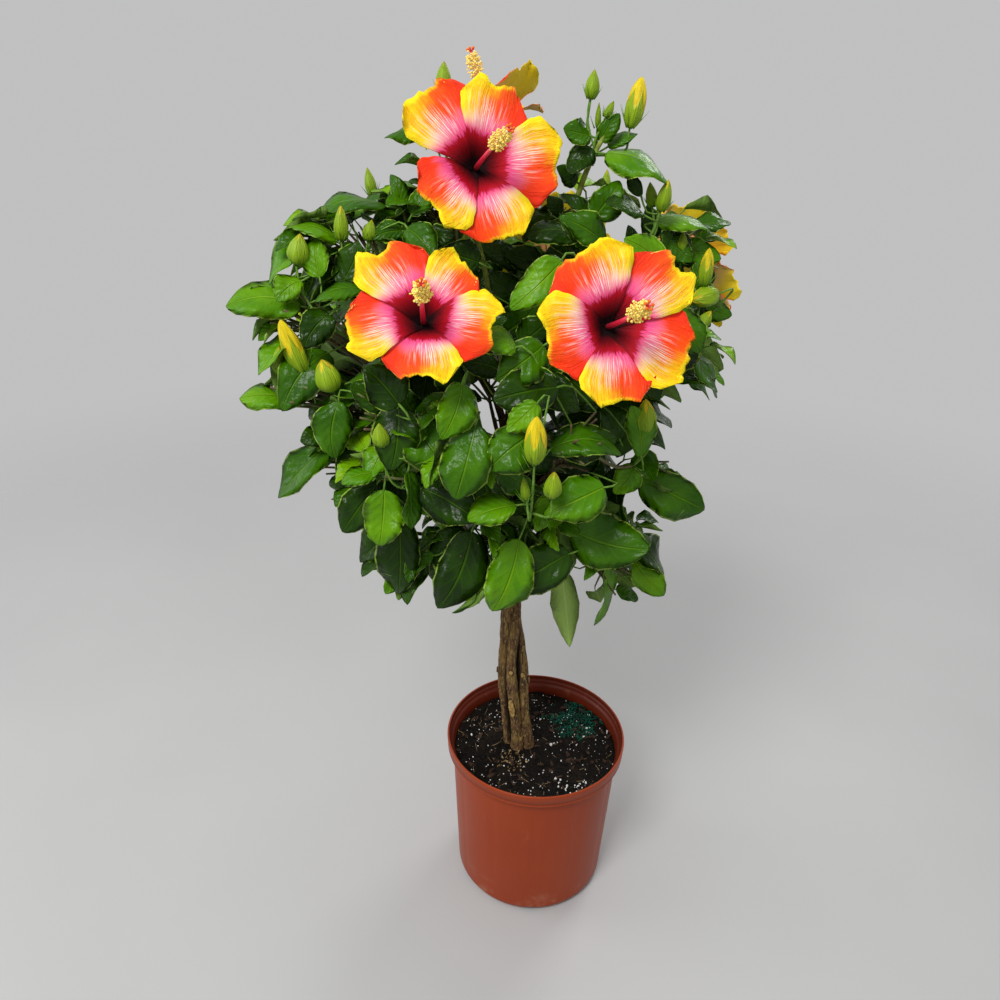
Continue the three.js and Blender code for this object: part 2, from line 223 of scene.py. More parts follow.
floor_mesh = bpy.data.meshes.new("floor")
half_floor = FLOOR_SIZE / 2
floor_corners = [(x * half_floor, y * half_floor, 0) for x, y in ((-1, -1), (1, -1), (1, 1), (-1, 1))]
floor_mesh.from_pydata(floor_corners, [], [(0, 1, 2, 3)])
floor = bpy.data.objects.new("floor", floor_mesh)
bpy.context.scene.collection.objects.link(floor)
floor_finish = Finish("floor")
floor_place = floor_finish.place()
floor_tone = floor_finish.mottle(floor_place, 2.2)
pale = floor_finish.mixed(floor_tone, (0.42, 0.42, 0.415), (0.48, 0.48, 0.475))
solid = floor_finish.node("ShaderNodeBsdfPrincipled", {}, {"Base Color": pale, "Roughness": 0.5})
far_off = floor_finish.node("ShaderNodeVectorMath", {"operation": "LENGTH"}, {0: floor_place}, 1)
clear = floor_finish.node("ShaderNodeBsdfTransparent", {}, {})
fade = far_off.between(FADE_START, FADE_END)
faded = floor_finish.node("ShaderNodeMixShader", {}, {0: fade, 1: solid, 2: clear})
floor_finish.node("ShaderNodeOutputMaterial", {}, {"Surface": faded})
floor_mesh.materials.append(floor_finish.material)

world = bpy.data.worlds.new("studio")
world.use_nodes = True
world.node_tree.nodes["Background"].inputs["Color"].default_value = (*SURROUND, 1)
world.node_tree.nodes["Background"].inputs["Strength"].default_value = 1.0
bpy.context.scene.world = world
bpy.context.scene.view_settings.view_transform = "Standard"
bpy.context.scene.view_settings.look = "None"


def lamp(name, stand, aim, size, watts):
    """A square soft lamp that stands at one place and is turned to another."""
    light = bpy.data.lights.new(name, "AREA")
    light.energy = watts
    light.size = size
    holder = bpy.data.objects.new(name, light)
    holder.location = stand
    holder.rotation_euler = (Vector(aim) - Vector(stand)).to_track_quat("-Z", "Y").to_euler()
    bpy.context.scene.collection.objects.link(holder)


lamp("key_lamp", (-0.9, -1.7, 2.7), (0, 0, 0.6), 0.9, 62)
lamp("side_lamp", (-2.2, 0.2, 1.6), (0, 0, 0.7), 1.2, 14)
lamp("rim_lamp", (1.3, 1.9, 2.3), (0, 0, 0.8), 1.0, 22)

# ---- Pot ---------------------------------------------------------------------------------------
# A blow-moulded nursery pot of red-brown plastic, with a plain band round its rim, stepped ridges
# inside the band, faint upright panels down its wall and slots round its heel for the water.

pot_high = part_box("pot")[1]
POT_HEIGHT = pot_high.z
RIM_RADIUS = pot_high.x
WALL_TOP_RADIUS = RIM_RADIUS - 8.5 * MM
BASE_RADIUS = 109 * MM
HEEL = 13 * MM
WALL = 2.4 * MM
BAND = 20 * MM
PANELS = 12
PANEL_FADE = 12 * MM
PANEL_GROOVE = 0.55 * MM
DRAINS = 6
DRAIN_SIZE = (24 * MM, 22 * MM, 9 * MM)
POT_STEPS = 192


def arc(radius, height, size, start, end, steps):
    """Points of a round corner in a profile of (radius, height), angles in degrees."""
    for i in range(steps + 1):
        angle = math.radians(start + (end - start) * i / steps)
        yield radius + size * math.cos(angle), height + size * math.sin(angle)


def straight(first, last, steps):
    """Points of a straight stretch of a profile, without its last one."""
    for i in range(steps):
        share = i / steps
        yield tuple(a + (b - a) * share for a, b in zip(first, last))


def turned(profile, steps, radius_at):
    """The points and faces of a profile turned round Z; its ends lie on the axis."""
    rings = profile[1:-1]
    points = [(0, 0, profile[0][1])]
    for radius, height in rings:
        for j in range(steps):
            angle = 2 * math.pi * j / steps
            out = radius_at(radius, height, angle)
            points.append((out * math.cos(angle), out * math.sin(angle), height))
    points.append((0, 0, profile[-1][1]))
    last = len(points) - 1
    faces = []
    for j in range(steps):
        k = (j + 1) % steps
        faces.append((0, 1 + k, 1 + j))
        for i in range(len(rings) - 1):
            a, b = 1 + i * steps, 1 + (i + 1) * steps
            faces.append((a + j, a + k, b + k, b + j))
        a = 1 + (len(rings) - 1) * steps
        faces.append((a + j, a + k, last))
    return points, faces


def new_piece(name, points, faces, materials):
    """An object at the origin with its place in its mesh."""
    mesh = bpy.data.meshes.new(name)
    mesh.from_pydata([tuple(point) for point in points], [], faces)
    for material in materials:
        mesh.materials.append(material)
    mesh.polygons.foreach_set("use_smooth", [True] * len(mesh.polygons))
    mesh.update()
    made = bpy.data.objects.new(name, mesh)
    bpy.context.scene.collection.objects.link(made)
    return made


def panelled(radius, height, angle):
    """The wall's radius, drawn in a hair along the edges of its upright panels."""
    above_heel = height - HEEL * 1.4
    below_band = POT_HEIGHT - BAND - 6 * MM - height
    if above_heel <= 0 or below_band <= 0:
        return radius
    fade = min(1, above_heel / PANEL_FADE, below_band / PANEL_FADE)
    edge = abs(math.cos(PANELS * angle / 2)) ** 24
    return radius - PANEL_GROOVE * fade * edge


band_foot = POT_HEIGHT - BAND
heel_radius = BASE_RADIUS - HEEL
inner_heel = HEEL - WALL
pot_profile = [
    (0, 3 * MM),
    (heel_radius * 0.82, 3 * MM),
    (heel_radius * 0.86, 0),
    *arc(heel_radius, HEEL, HEEL, -90, 0, 8),
    *straight((BASE_RADIUS, HEEL + MM), (WALL_TOP_RADIUS, band_foot - 1.2 * MM), 24),
    (WALL_TOP_RADIUS, band_foot - 1.2 * MM),
    (WALL_TOP_RADIUS + 0.2 * MM, band_foot),
    *arc(RIM_RADIUS - 2.6 * MM, band_foot + 2.6 * MM, 1.8 * MM, -80, -10, 3),
    (RIM_RADIUS - 0.9 * MM, band_foot + 4.3 * MM),
    (RIM_RADIUS - 1.5 * MM, band_foot + 4.6 * MM),
    (RIM_RADIUS - 1.5 * MM, band_foot + 5.2 * MM),
    (RIM_RADIUS - 0.7 * MM, band_foot + 5.6 * MM),
    (RIM_RADIUS - 0.6 * MM, POT_HEIGHT - 5 * MM),
    *arc(RIM_RADIUS - 1.6 * MM, POT_HEIGHT - 1.7 * MM, 1.6 * MM, 0, 180, 8),
    (RIM_RADIUS - 3.4 * MM, POT_HEIGHT - 5 * MM),
    (RIM_RADIUS - 3.9 * MM, POT_HEIGHT - 6.5 * MM),
    (RIM_RADIUS - 5.2 * MM, POT_HEIGHT - 7.2 * MM),
    (RIM_RADIUS - 5.4 * MM, POT_HEIGHT - 11 * MM),
    (RIM_RADIUS - 6.0 * MM, POT_HEIGHT - 12.6 * MM),
    (RIM_RADIUS - 8.4 * MM, POT_HEIGHT - 13.6 * MM),
    (RIM_RADIUS - 8.8 * MM, POT_HEIGHT - 17 * MM),
    (WALL_TOP_RADIUS - WALL, band_foot - 1 * MM),
    *straight((WALL_TOP_RADIUS - WALL, band_foot - 3 * MM), (BASE_RADIUS - WALL, HEEL), 6),
    *arc(heel_radius, HEEL, inner_heel, 0, -90, 5),
    (0, WALL + 3 * MM),
]
pot_points, pot_faces = turned(pot_profile, POT_STEPS, panelled)


def red_brown_plastic(name, deep, fresh):
    """Satin plastic, smeared and lightly scuffed, with dust low down on the wall."""
    finish = Finish(name)
    where = finish.place()
    smear = finish.mottle(where, 9, 4)
    upright_marks = finish.node("ShaderNodeMapping", {}, {0: where, 3: (1, 1, 0.25)})
    scuffs = finish.mottle(upright_marks, 90, 4, 0.7)
    dust = finish.mottle(where, 34, 5, 0.65).between(0.5, 0.75)
    height = finish.node("ShaderNodeSeparateXYZ", {}, {0: where}, 2)
    red_brown = finish.mixed(smear, deep, fresh)
    rubbed = finish.mixed(scuffs.between(0.58, 0.8) * 0.35, red_brown, (0.40, 0.115, 0.06))
    return finish.surface(
        Base_Color=finish.mixed(dust * height.between(0.07, 0.0) * 0.5, rubbed, (0.38, 0.2, 0.13)),
        Roughness=0.27 + 0.14 * smear + 0.12 * scuffs,
        Normal=finish.raised(smear + scuffs * 0.12, 0.25, 0.0012),
        Specular_IOR_Level=0.22,
    )


pot_outside = red_brown_plastic("pot_outside", (0.242, 0.030, 0.004), (0.312, 0.043, 0.006))
# The inner wall is a darker copy of the same plastic: painted shade inside the pot.
pot_inside = red_brown_plastic("pot_inside", (0.085, 0.010, 0.003), (0.13, 0.016, 0.004))
pot = new_piece("nursery_pot", pot_points, pot_faces, [pot_outside, pot_inside])
# Faces that look inward take the darker copy, the painted shade on the inner wall.
for face in pot.data.polygons:
    looks_inward = face.normal.xy.dot(face.center.xy) < -0.3 * face.center.xy.length
    face.material_index = int(looks_inward)

cutter = bpy.data.objects.new("cutter", bpy.data.meshes.new("cutter"))
slots = bmesh.new()
for i in range(DRAINS):
    angle = 2 * math.pi * (i + 0.5) / DRAINS
    place = Matrix.Rotation(angle, 4, "Z") @ Matrix.Translation((BASE_RADIUS - 4 * MM, 0, 3.5 * MM))
    shape = place @ Matrix.Diagonal((*DRAIN_SIZE, 1))
    bmesh.ops.create_cube(slots, size=1, matrix=shape)
bmesh.ops.bevel(slots, geom=slots.edges[:], offset=2 * MM, segments=2, affect="EDGES")
slots.to_mesh(cutter.data)
slots.free()
bpy.context.scene.collection.objects.link(cutter)
cutting = pot.modifiers.new("slots", "BOOLEAN")
cutting.operation = "DIFFERENCE"
cutting.solver = "EXACT"
cutting.object = cutter


def made_plain(piece):
    """The piece with its modifiers worked out, so that only its mesh is left."""
    evaluated = piece.evaluated_get(bpy.context.evaluated_depsgraph_get())
    mesh = bpy.data.meshes.new_from_object(evaluated)
    mesh.name = piece.name
    piece.modifiers.clear()
    piece.data = mesh


made_plain(pot)
bpy.data.objects.remove(cutter)
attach(pot, "root")
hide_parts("pot")

# ---- Potting mix -------------------------------------------------------------------------------
# Damp, nearly black peat and bark, heaped a little round the trunk. White perlite, chips of bark,
# crumbs and fibres lie in it, and a spill of blue-green fertiliser grains at the back on the right.

MIX_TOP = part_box("potting_mix")[1].z
trunk_low, trunk_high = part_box("trunk")
foot = Vector((-25 * MM, 5 * MM, trunk_low.z))
# The patches that litter lies in: (the middle, the radius).
SPILL = (Vector((64 * MM, 50 * MM, MIX_TOP)), 37 * MM)
PERLITE_HEAP = (Vector((45 * MM, -90 * MM, MIX_TOP)), 22 * MM)
LITTER = (Vector((-34 * MM, -36 * MM, MIX_TOP)), 20 * MM)
EVERYWHERE = (Vector((0, 0, 0)), 1.0)
mix_radius = WALL_TOP_RADIUS - WALL - 0.6 * MM
LEAST_UPWARD = 0.3
FULL_TURN = 6.28


def mix_height(x, y):
    """The height of the mix's surface over a place."""
    at = Vector((x, y, 0))
    heap = 5 * MM * math.exp(-((at - Vector((foot.x, foot.y, 0))).length / (26 * MM)) ** 2)
    lumps = 3.2 * MM * noise.noise(at * 45) + 1.6 * MM * noise.noise(at * 130 + Vector((7, 3, 1)))
    crumbs = 0.9 * MM * noise.noise(at * 420)
    return MIX_TOP - 3.5 * MM + heap + lumps + crumbs


def disc(radius, rings, steps):
    """Points over a disc, ring by ring from its middle."""
    yield 0.0, 0.0
    for i in range(1, rings + 1):
        for j in range(steps):
            angle = 2 * math.pi * (j + 0.5 * (i % 2)) / steps
            yield radius * i / rings * math.cos(angle), radius * i / rings * math.sin(angle)


MIX_RINGS, MIX_STEPS, MIX_DEPTH = 70, 210, 14 * MM
mix_points = [(x, y, mix_height(x, y)) for x, y in disc(mix_radius, MIX_RINGS, MIX_STEPS)]
mix_faces = [(0, 1 + j, 1 + (j + 1) % MIX_STEPS) for j in range(MIX_STEPS)]
for i in range(MIX_RINGS - 1):
    a, b = 1 + i * MIX_STEPS, 1 + (i + 1) * MIX_STEPS
    for j in range(MIX_STEPS):
        k = (j + 1) % MIX_STEPS
        mix_faces.append((a + j, b + j, b + k, a + k))
rim_start = 1 + (MIX_RINGS - 1) * MIX_STEPS
skirt_start = len(mix_points)
mix_points += [(x, y, MIX_TOP - MIX_DEPTH) for x, y, _ in mix_points[rim_start:]]
mix_points.append((0, 0, MIX_TOP - MIX_DEPTH))
for j in range(MIX_STEPS):
    k = (j + 1) % MIX_STEPS
    mix_faces.append((rim_start + j, skirt_start + j, skirt_start + k, rim_start + k))
    mix_faces.append((skirt_start + j, len(mix_points) - 1, skirt_start + k))

peat_finish = Finish("damp_peat")
peat_place = peat_finish.place()
peat_grain = peat_finish.mottle(peat_place, 260, 5, 0.7)
peat_patch = peat_finish.mottle(peat_place, 38, 3)
peat_light = peat_grain.between(0.35, 0.75)
peat_dark = peat_finish.mixed(peat_light, (0.002, 0.0015, 0.0012), (0.011, 0.008, 0.0055))
peat_colour = peat_finish.mixed(peat_patch.between(0.52, 0.72) * 0.5, peat_dark, (0.022, 0.014, 0.008))
peat_material = peat_finish.surface(
    Base_Color=peat_colour,
    Roughness=0.62 + 0.3 * peat_grain,
    Normal=peat_finish.raised(peat_grain, 0.9, 0.002),
    Specular_IOR_Level=0.08,
)
mix = new_piece("potting_mix_surface", mix_points, mix_faces, [peat_material])
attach(mix, "root")
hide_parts("potting_mix")


def grain(name, finish, stretch, lumpiness, subdivisions, seed):
    """One small lump about 1 across, to be strewn; its own object isn't kept."""
    lump = bmesh.new()
    bmesh.ops.create_icosphere(lump, subdivisions=subdivisions, radius=0.5)
    for vertex in lump.verts:
        push = 1 + lumpiness * noise.noise(vertex.co * 3.1 + Vector((seed, 2 * seed, 1)))
        vertex.co = Vector([c * s for c, s in zip(vertex.co * push, stretch)])
    mesh = bpy.data.meshes.new(name)
    lump.to_mesh(mesh)
    lump.free()
    mesh.materials.append(finish)
    made = bpy.data.objects.new(name, mesh)
    bpy.context.scene.collection.objects.link(made)
    return made


def strewn(name, what, how_many_per_m2, sizes, turn_over, seed, patch, lift):
    """Copies of one lump strewn over the mix's upper faces by a geometry node tree."""
    tree = bpy.data.node_groups.new(name, "GeometryNodeTree")
    tree.interface.new_socket("Ground", in_out="INPUT", socket_type="NodeSocketGeometry")
    inputs = {
        "Density": ("NodeSocketFloat", how_many_per_m2),
        "Smallest": ("NodeSocketFloat", sizes[0]),
        "Largest": ("NodeSocketFloat", sizes[1]),
        "Turn Over": ("NodeSocketFloat", turn_over),
        "Lift": ("NodeSocketFloat", lift),
        "Seed": ("NodeSocketInt", seed),
        "Patch": ("NodeSocketVector", patch[0]),
        "Patch Radius": ("NodeSocketFloat", patch[1]),
        "Lump": ("NodeSocketObject", what),
    }
    sockets = {}
    for label, (sort, _) in inputs.items():
        sockets[label] = tree.interface.new_socket(label, in_out="INPUT", socket_type=sort)
    tree.interface.new_socket("Strewn", in_out="OUTPUT", socket_type="NodeSocketGeometry")
    given = tree.nodes.new("NodeGroupInput").outputs

    def add(kind, sockets, settings=None, output=0):
        """One of the outputs of a new node, whose sockets take values or other nodes' outputs."""
        made = tree.nodes.new(kind)
        for setting, value in (settings or {}).items():
            setattr(made, setting, value)
        for key, value in sockets.items():
            if hasattr(value, "links"):
                tree.links.new(value, made.inputs[key])
            else:
                made.inputs[key].default_value = value
        return made.outputs[output]

    def compared(first, second, operation):
        settings = {"data_type": "FLOAT", "operation": operation}
        return add("FunctionNodeCompare", {0: first, 1: second}, settings)

    def times(first, second):
        return add("ShaderNodeMath", {0: first, 1: second}, {"operation": "MULTIPLY"})

    upward = add("ShaderNodeSeparateXYZ", {0: add("GeometryNodeInputNormal", {})}, output=2)
    upper = compared(upward, LEAST_UPWARD, "GREATER_THAN")
    from_patch = {0: add("GeometryNodeInputPosition", {}), 1: given["Patch"]}
    distance = add("ShaderNodeVectorMath", from_patch, {"operation": "DISTANCE"}, 1)
    # Noise is about a half on the whole, so twice the radius times it gives a ragged edge.
    ragged = add("ShaderNodeTexNoise", {"Scale": 60.0})
    edge = times(times(ragged, given["Patch Radius"]), 2.0)
    inside = compared(distance, edge, "LESS_THAN")
    both = add("FunctionNodeBooleanMath", {0: upper, 1: inside}, {"operation": "AND"})
    where = {"Mesh": given["Ground"], "Selection": both, "Density": given["Density"], "Seed": given["Seed"]}
    spots = add("GeometryNodeDistributePointsOnFaces", where)
    up = add("ShaderNodeCombineXYZ", {"Z": given["Lift"]})
    lifted = add("GeometryNodeSetPosition", {"Geometry": spots, "Offset": up})
    sizes_between = {2: given["Smallest"], 3: given["Largest"], "Seed": given["Seed"]}
    size = add("FunctionNodeRandomValue", sizes_between, {"data_type": "FLOAT"}, 1)
    furthest = {"X": given["Turn Over"], "Y": given["Turn Over"], "Z": FULL_TURN}
    turns_up_to = {1: add("ShaderNodeCombineXYZ", furthest), "Seed": given["Seed"]}
    spin = add("FunctionNodeRandomValue", turns_up_to, {"data_type": "FLOAT_VECTOR"})
    lump = add("GeometryNodeObjectInfo", {"Object": given["Lump"]}, output="Geometry")
    copy = {"Points": lifted, "Instance": lump, "Rotation": spin, "Scale": size}
    real = add("GeometryNodeRealizeInstances", {"Geometry": add("GeometryNodeInstanceOnPoints", copy)})
    look = {"Geometry": real, "Material": what.data.materials[0]}
    finished = add("GeometryNodeSetMaterial", look)
    tree.links.new(finished, tree.nodes.new("NodeGroupOutput").inputs[0])

    carrier = bpy.data.objects.new(name, mix.data.copy())
    bpy.context.scene.collection.objects.link(carrier)
    modifier = carrier.modifiers.new(name, "NODES")
    modifier.node_group = tree
    for label, (_, value) in inputs.items():
        modifier[sockets[label].identifier] = value
    made_plain(carrier)
    # Whatever would reach through the pot's wall lies against it instead.
    at = np.empty(len(carrier.data.vertices) * 3, dtype=np.float32)
    carrier.data.vertices.foreach_get("co", at)
    at = at.reshape(-1, 3)
    far_out = np.hypot(at[:, 0], at[:, 1])
    at[:, :2] *= np.minimum(1, mix_radius / np.maximum(MM, far_out))[:, None]
    carrier.data.vertices.foreach_set("co", at.ravel())
    bpy.data.objects.remove(what)
    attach(carrier, "root")


def speckled(name, dark, light, scale, roughness):
    """A finish with one colour mottled into another."""
    finish = Finish(name)
    where = finish.place()
    grain_tone = finish.mottle(where, scale, 4, 0.6)
    return finish.surface(
        Base_Color=finish.mixed(grain_tone.between(0.3, 0.7), dark, light),
        Roughness=roughness - 0.15 * grain_tone,
        Normal=finish.raised(grain_tone, 0.5, 0.0006),
        Specular_IOR_Level=0.12,
    )


perlite = speckled("perlite", (0.55, 0.53, 0.49), (0.86, 0.85, 0.82), 500, 0.9)
chip_brown = speckled("bark_chip", (0.010, 0.006, 0.004), (0.055, 0.030, 0.018), 160, 0.9)
crumb_black = speckled("peat_crumb", (0.003, 0.0024, 0.002), (0.016, 0.012, 0.009), 300, 0.95)
straw = speckled("straw", (0.14, 0.085, 0.035), (0.36, 0.25, 0.12), 200, 0.8)
prill = speckled("fertiliser_grain", (0.0, 0.020, 0.012), (0.002, 0.12, 0.070), 420, 0.5)

# What is strewn: the piece, its lump as (finish, stretch, lumpiness, subdivisions, seed), how many to
# the square metre, the least and greatest size in millimetres, how far they turn over, the seed, the
# patch, and how far they are lifted in millimetres.
STREWN = [
    ("peat_crumbs", (crumb_black, (1, 0.8, 0.6), 0.9, 1, 4), 52000, (1.2, 4.4), 3.1, 11, EVERYWHERE, 0),
    ("perlite_grains", (perlite, (1, 0.85, 0.8), 0.5, 1, 2), 7400, (0.6, 2.5), 3.1, 12, EVERYWHERE, 0.4),
    ("perlite_lumps", (perlite, (1, 0.8, 0.8), 0.6, 2, 8), 240, (3.2, 5.2), 3.1, 31, EVERYWHERE, 0.4),
    ("perlite_heap", (perlite, (1, 0.8, 0.8), 0.6, 1, 8), 26000, (1.6, 4.4), 3.1, 32, PERLITE_HEAP, 0.4),
    ("bark_chips", (chip_brown, (1.5, 0.75, 0.22), 0.7, 2, 6), 2300, (4, 10), 0.7, 13, EVERYWHERE, 0.6),
    ("straws", (straw, (2.6, 0.09, 0.09), 0.3, 1, 3), 1500, (3, 8), 0.6, 14, EVERYWHERE, 0.9),
    ("fertiliser_grains", (prill, (1, 1, 0.95), 0.2, 1, 5), 150000, (1.5, 2.5), 3.1, 15, SPILL, 0.8),
    ("golden_litter", (straw, (1.2, 0.7, 0.3), 0.9, 1, 7), 60000, (1.6, 4.8), 3.1, 16, LITTER, 0.8),
]
for name, lump, count, (least, most), turn_over, seed, patch, lift in STREWN:
    what = grain(name + "_lump", *lump)
    strewn(name, what, count, (least * MM, most * MM), turn_over, seed, patch, lift * MM)

# ---- Braided trunk -----------------------------------------------------------------------------
# Five young stems were planted in a ring and plaited, and have thickened until they press on each
# other. Their bark is olive brown with furrows, and pale scars show where side shoots were cut.

STRANDS = 5
STRAND_RADIUS = 7.7 * MM
TWIST = 0.8
FIRST_STRAND = math.radians(44)
# How far the strands' middles stand from the braid's, in millimetres, at shares of its height.
BRAID = [
    (0, 13.5), (0.12, 14.5), (0.31, 16.4), (0.44, 12.6), (0.54, 8.0), (0.62, 6.6), (0.72, 6.6),
    (0.86, 9), (1, 13),
]
STRAND_SIDES = 28
STRAND_RINGS = 150
fork = Vector((-46 * MM, 0, trunk_high.z))


def braid_radius(share):
    """How far the strands' middles stand from the braid's middle."""
    for (low, below), (high, above) in zip(BRAID, BRAID[1:]):
        if share <= high:
            step = max(0.0, (share - low) / (high - low))
            return (below + (above - below) * step * step * (3 - 2 * step)) * MM
    return BRAID[-1][1] * MM


def braid_middle(share):
    """The middle of the braid, which bows a little to the left on its way up."""
    bow = 5 * MM * math.sin(math.pi * min(1, share * 1.2))
    return foot.lerp(fork, share) - Vector((bow, 0, 0))


def strand_place(strand, share):
    """A strand's middle: it rises almost straight and winds round only near the top."""
    angle = FIRST_STRAND + 2 * math.pi * (strand / STRANDS + TWIST * share ** 3)
    angle += 0.22 * math.sin(9 * share + strand * 2.3)
    radius = braid_radius(share) * (1 + 0.13 * math.sin(7 * share + strand * 1.9))
    return braid_middle(share) + Vector((radius * math.cos(angle), radius * math.sin(angle), 0))


class Bundle:
    """Shapes of one kind, gathered up and then joined in one mesh.

    A shape's finish is the number of a material, or a list of them with one for each face.
    """

    def __init__(self):
        self.points = []
        self.faces = []
        self.finish_of_face = []
        self.map = []

    def add(self, points, faces, finish, places=None):
        start = len(self.points)
        self.points.extend(points)
        self.faces.extend(tuple(start + corner for corner in face) for face in faces)
        self.finish_of_face.extend([finish] * len(faces) if isinstance(finish, int) else finish)
        self.map.extend(places or [(0.5, 0.5)] * len(points))

    def piece(self, name, materials, slot):
        made = new_piece(name, self.points, self.faces, materials)
        mesh = made.data
        mesh.polygons.foreach_set("material_index", self.finish_of_face)
        corners = np.empty(len(mesh.loops), dtype=np.int32)
        mesh.loops.foreach_get("vertex_index", corners)
        layer = mesh.uv_layers.new(name="places")
        layer.data.foreach_set("uv", np.asarray(self.map, dtype=np.float32)[corners].ravel())
        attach(made, "root")
        return made


def frames_along(path):
    """Each point of a path, and two directions square to it that turn as little as they can."""
    across = None
    for i, point in enumerate(path):
        ahead_here = (path[min(i + 1, len(path) - 1)] - path[max(i - 1, 0)]).normalized()
        if across is None:
            across = ahead_here.orthogonal().normalized()
        else:
            across = (across - ahead_here * across.dot(ahead_here)).normalized()
        yield point, across, ahead_here.cross(across)


def tube(path, radius_at, sides, bark=None):
    """The points, faces and map of a closed tube; bark(share, angle, point) scales its radius."""
    points, places = [], []
    for i, (centre, across, up) in enumerate(frames_along(path)):
        share = i / (len(path) - 1)
        for j in range(sides):
            angle = 2 * math.pi * j / sides
            outward = across * math.cos(angle) + up * math.sin(angle)
            radius = radius_at(share)
            if bark:
                radius *= bark(share, angle, centre + outward * radius)
            points.append(centre + outward * radius)
            places.append((j / sides, share))
    points += [path[0], path[-1]]
    places += [(0.5, 0), (0.5, 1)]
    start, end = len(points) - 2, len(points) - 1
    last_ring = (len(path) - 1) * sides
    faces = []
    for j in range(sides):
        k = (j + 1) % sides
        for ring in range(0, last_ring, sides):
            faces.append((ring + j, ring + k, ring + sides + k, ring + sides + j))
        faces.append((start, k, j))
        faces.append((end, last_ring + j, last_ring + k))
    return points, faces, places


def furrowed(seed, depth):
    """Bark with long furrows, ridges across them and a few swellings, for a tube's radius."""

    def relief(_, angle, point):
        round_it = Vector((math.cos(angle), math.sin(angle), 0)) * 2.4
        along = Vector((0, 0, point.z * 34 + seed * 9))
        furrows = noise.noise(round_it + along * 0.7)
        fine = noise.noise(round_it * 2.6 + along * 2.2 + Vector((5, 1, 0)))
        rings = noise.noise(Vector((seed * 3.1, 0, point.z * 170)) + round_it * 0.25)
        swelling = noise.noise(Vector((seed * 5.7, 1.3, point.z * 21)))
        return 1 + depth * (0.10 * furrows + 0.055 * fine + 0.035 * rings + 0.11 * swelling)

    return relief


bark_finish = Finish("furrowed_bark")
bark_place = bark_finish.place()
drawn_out = bark_finish.node("ShaderNodeMapping", {}, {0: bark_place, 3: (1, 1, 0.2)})
bark_streaks = bark_finish.mottle(drawn_out, 260, 5, 0.7)
bark_patches = bark_finish.mottle(bark_place, 55, 4, 0.6)
bark_highlight_flecks = bark_finish.mottle(drawn_out, 620, 3, 0.65)
bark_out = bark_finish.on_map()[0]
bark_colour = bark_finish.mixed(
    bark_patches.between(0.35, 0.65), (0.085, 0.046, 0.014), (0.225, 0.138, 0.044))
# Over the olive lie reddish patches, dark streaks, painted highlights as pale flecks, and painted shade
# between the strands.
for share, colour in [
    (bark_patches.between(0.62, 0.42) * 0.5, (0.17, 0.082, 0.045)),
    (bark_streaks.between(0.53, 0.40) * 0.85, (0.028, 0.016, 0.007)),
    # Painted highlights: pale tan flecks where ridges would catch the light.
    (bark_highlight_flecks.between(0.53, 0.66) * 0.85, (0.40, 0.275, 0.11)),
    # Painted shade: near black where the strands face each other.
    (bark_out.between(0.74, 0.36) * 0.95, (0.010, 0.006, 0.003)),
]:
    bark_colour = bark_finish.mixed(share, bark_colour, colour)
bark_material = bark_finish.surface(
    Base_Color=bark_colour,
    Roughness=0.78 + 0.15 * bark_streaks,
    Normal=bark_finish.raised(bark_streaks + 0.5 * bark_highlight_flecks, 1.0, 0.0034),
    Specular_IOR_Level=0.18,
)
scar_material = speckled("pruning_scar", (0.20, 0.105, 0.03), (0.50, 0.34, 0.12), 260, 0.65)

wood = Bundle()
BARK, SCAR = range(2)
STRAND_TAPER = 0.22


def strand_radius(share):
    """A strand's radius, which flares at the mix and tapers upwards."""
    flare = 1 + 0.26 * math.exp(-share / 0.05)
    return STRAND_RADIUS * flare * (1 - STRAND_TAPER * share)


def outness(point, share):
    """0 at the side of a strand that faces the braid's middle, 1 at its outer side."""
    out = (point - braid_middle(share)).xy.length - braid_radius(share)
    return 0.5 + 0.5 * out / strand_radius(share)


for strand in range(STRANDS):
    path = [strand_place(strand, i / STRAND_RINGS) for i in range(STRAND_RINGS + 1)]
    path.insert(0, path[0] - Vector((0, 0, 5 * MM)))
    shape, faces, places = tube(path, strand_radius, STRAND_SIDES, furrowed(strand + 1, 1.5))
    # Across the map runs how far out a point lies, so that shade can be painted into the bark between the
    # strands.
    places = [(outness(point, share), share) for point, (_, share) in zip(shape, places)]
    wood.add(shape, faces, BARK, places)

# Where side shoots were cut: (strand, share of the height, turn round the strand, length, width).
SCARS = [
    (3, 0.20, -0.30, 44, 10), (3, 0.05, 0.8, 9, 9), (4, 0.30, 0.5, 12, 8), (4, 0.33, -1.0, 9, 7),
    (2, 0.34, -0.5, 10, 7), (3, 0.36, 0.3, 9, 6), (0, 0.5, 0.0, 9, 6), (1, 0.22, 2.0, 10, 7),
]
SCAR_STANDS_OUT = 4.0
for strand, share, turn_round, length, width in SCARS:
    centre = strand_place(strand, share)
    axis = (strand_place(strand, share + 0.02) - centre).normalized()
    outward = (centre - foot.lerp(fork, share)).normalized()
    outward = Matrix.Rotation(turn_round, 3, "Z") @ Vector((outward.x, outward.y, 0)).normalized()
    side = axis.cross(outward)
    scar = bmesh.new()
    bmesh.ops.create_icosphere(scar, subdivisions=3, radius=1)
    shape = []
    for vertex in scar.verts:
        push = 1 + 0.22 * noise.noise(vertex.co * 1.7 + Vector((strand, length, width)))
        x, y, z = vertex.co * push
        z = min(z, 0.55 + 0.06 * noise.noise(vertex.co * 6))
        across_scar = axis * x * length / 2 + side * y * width / 2
        out_of_bark = outward * (z * SCAR_STANDS_OUT + STRAND_RADIUS / MM * 0.84)
        shape.append(centre + (across_scar + out_of_bark) * MM)
    cut = [SCAR if all(v.co.z > 0.45 for v in face.verts) else BARK for face in scar.faces]
    wood.add(shape, [tuple(v.index for v in face.verts) for face in scar.faces], cut)
    scar.free()

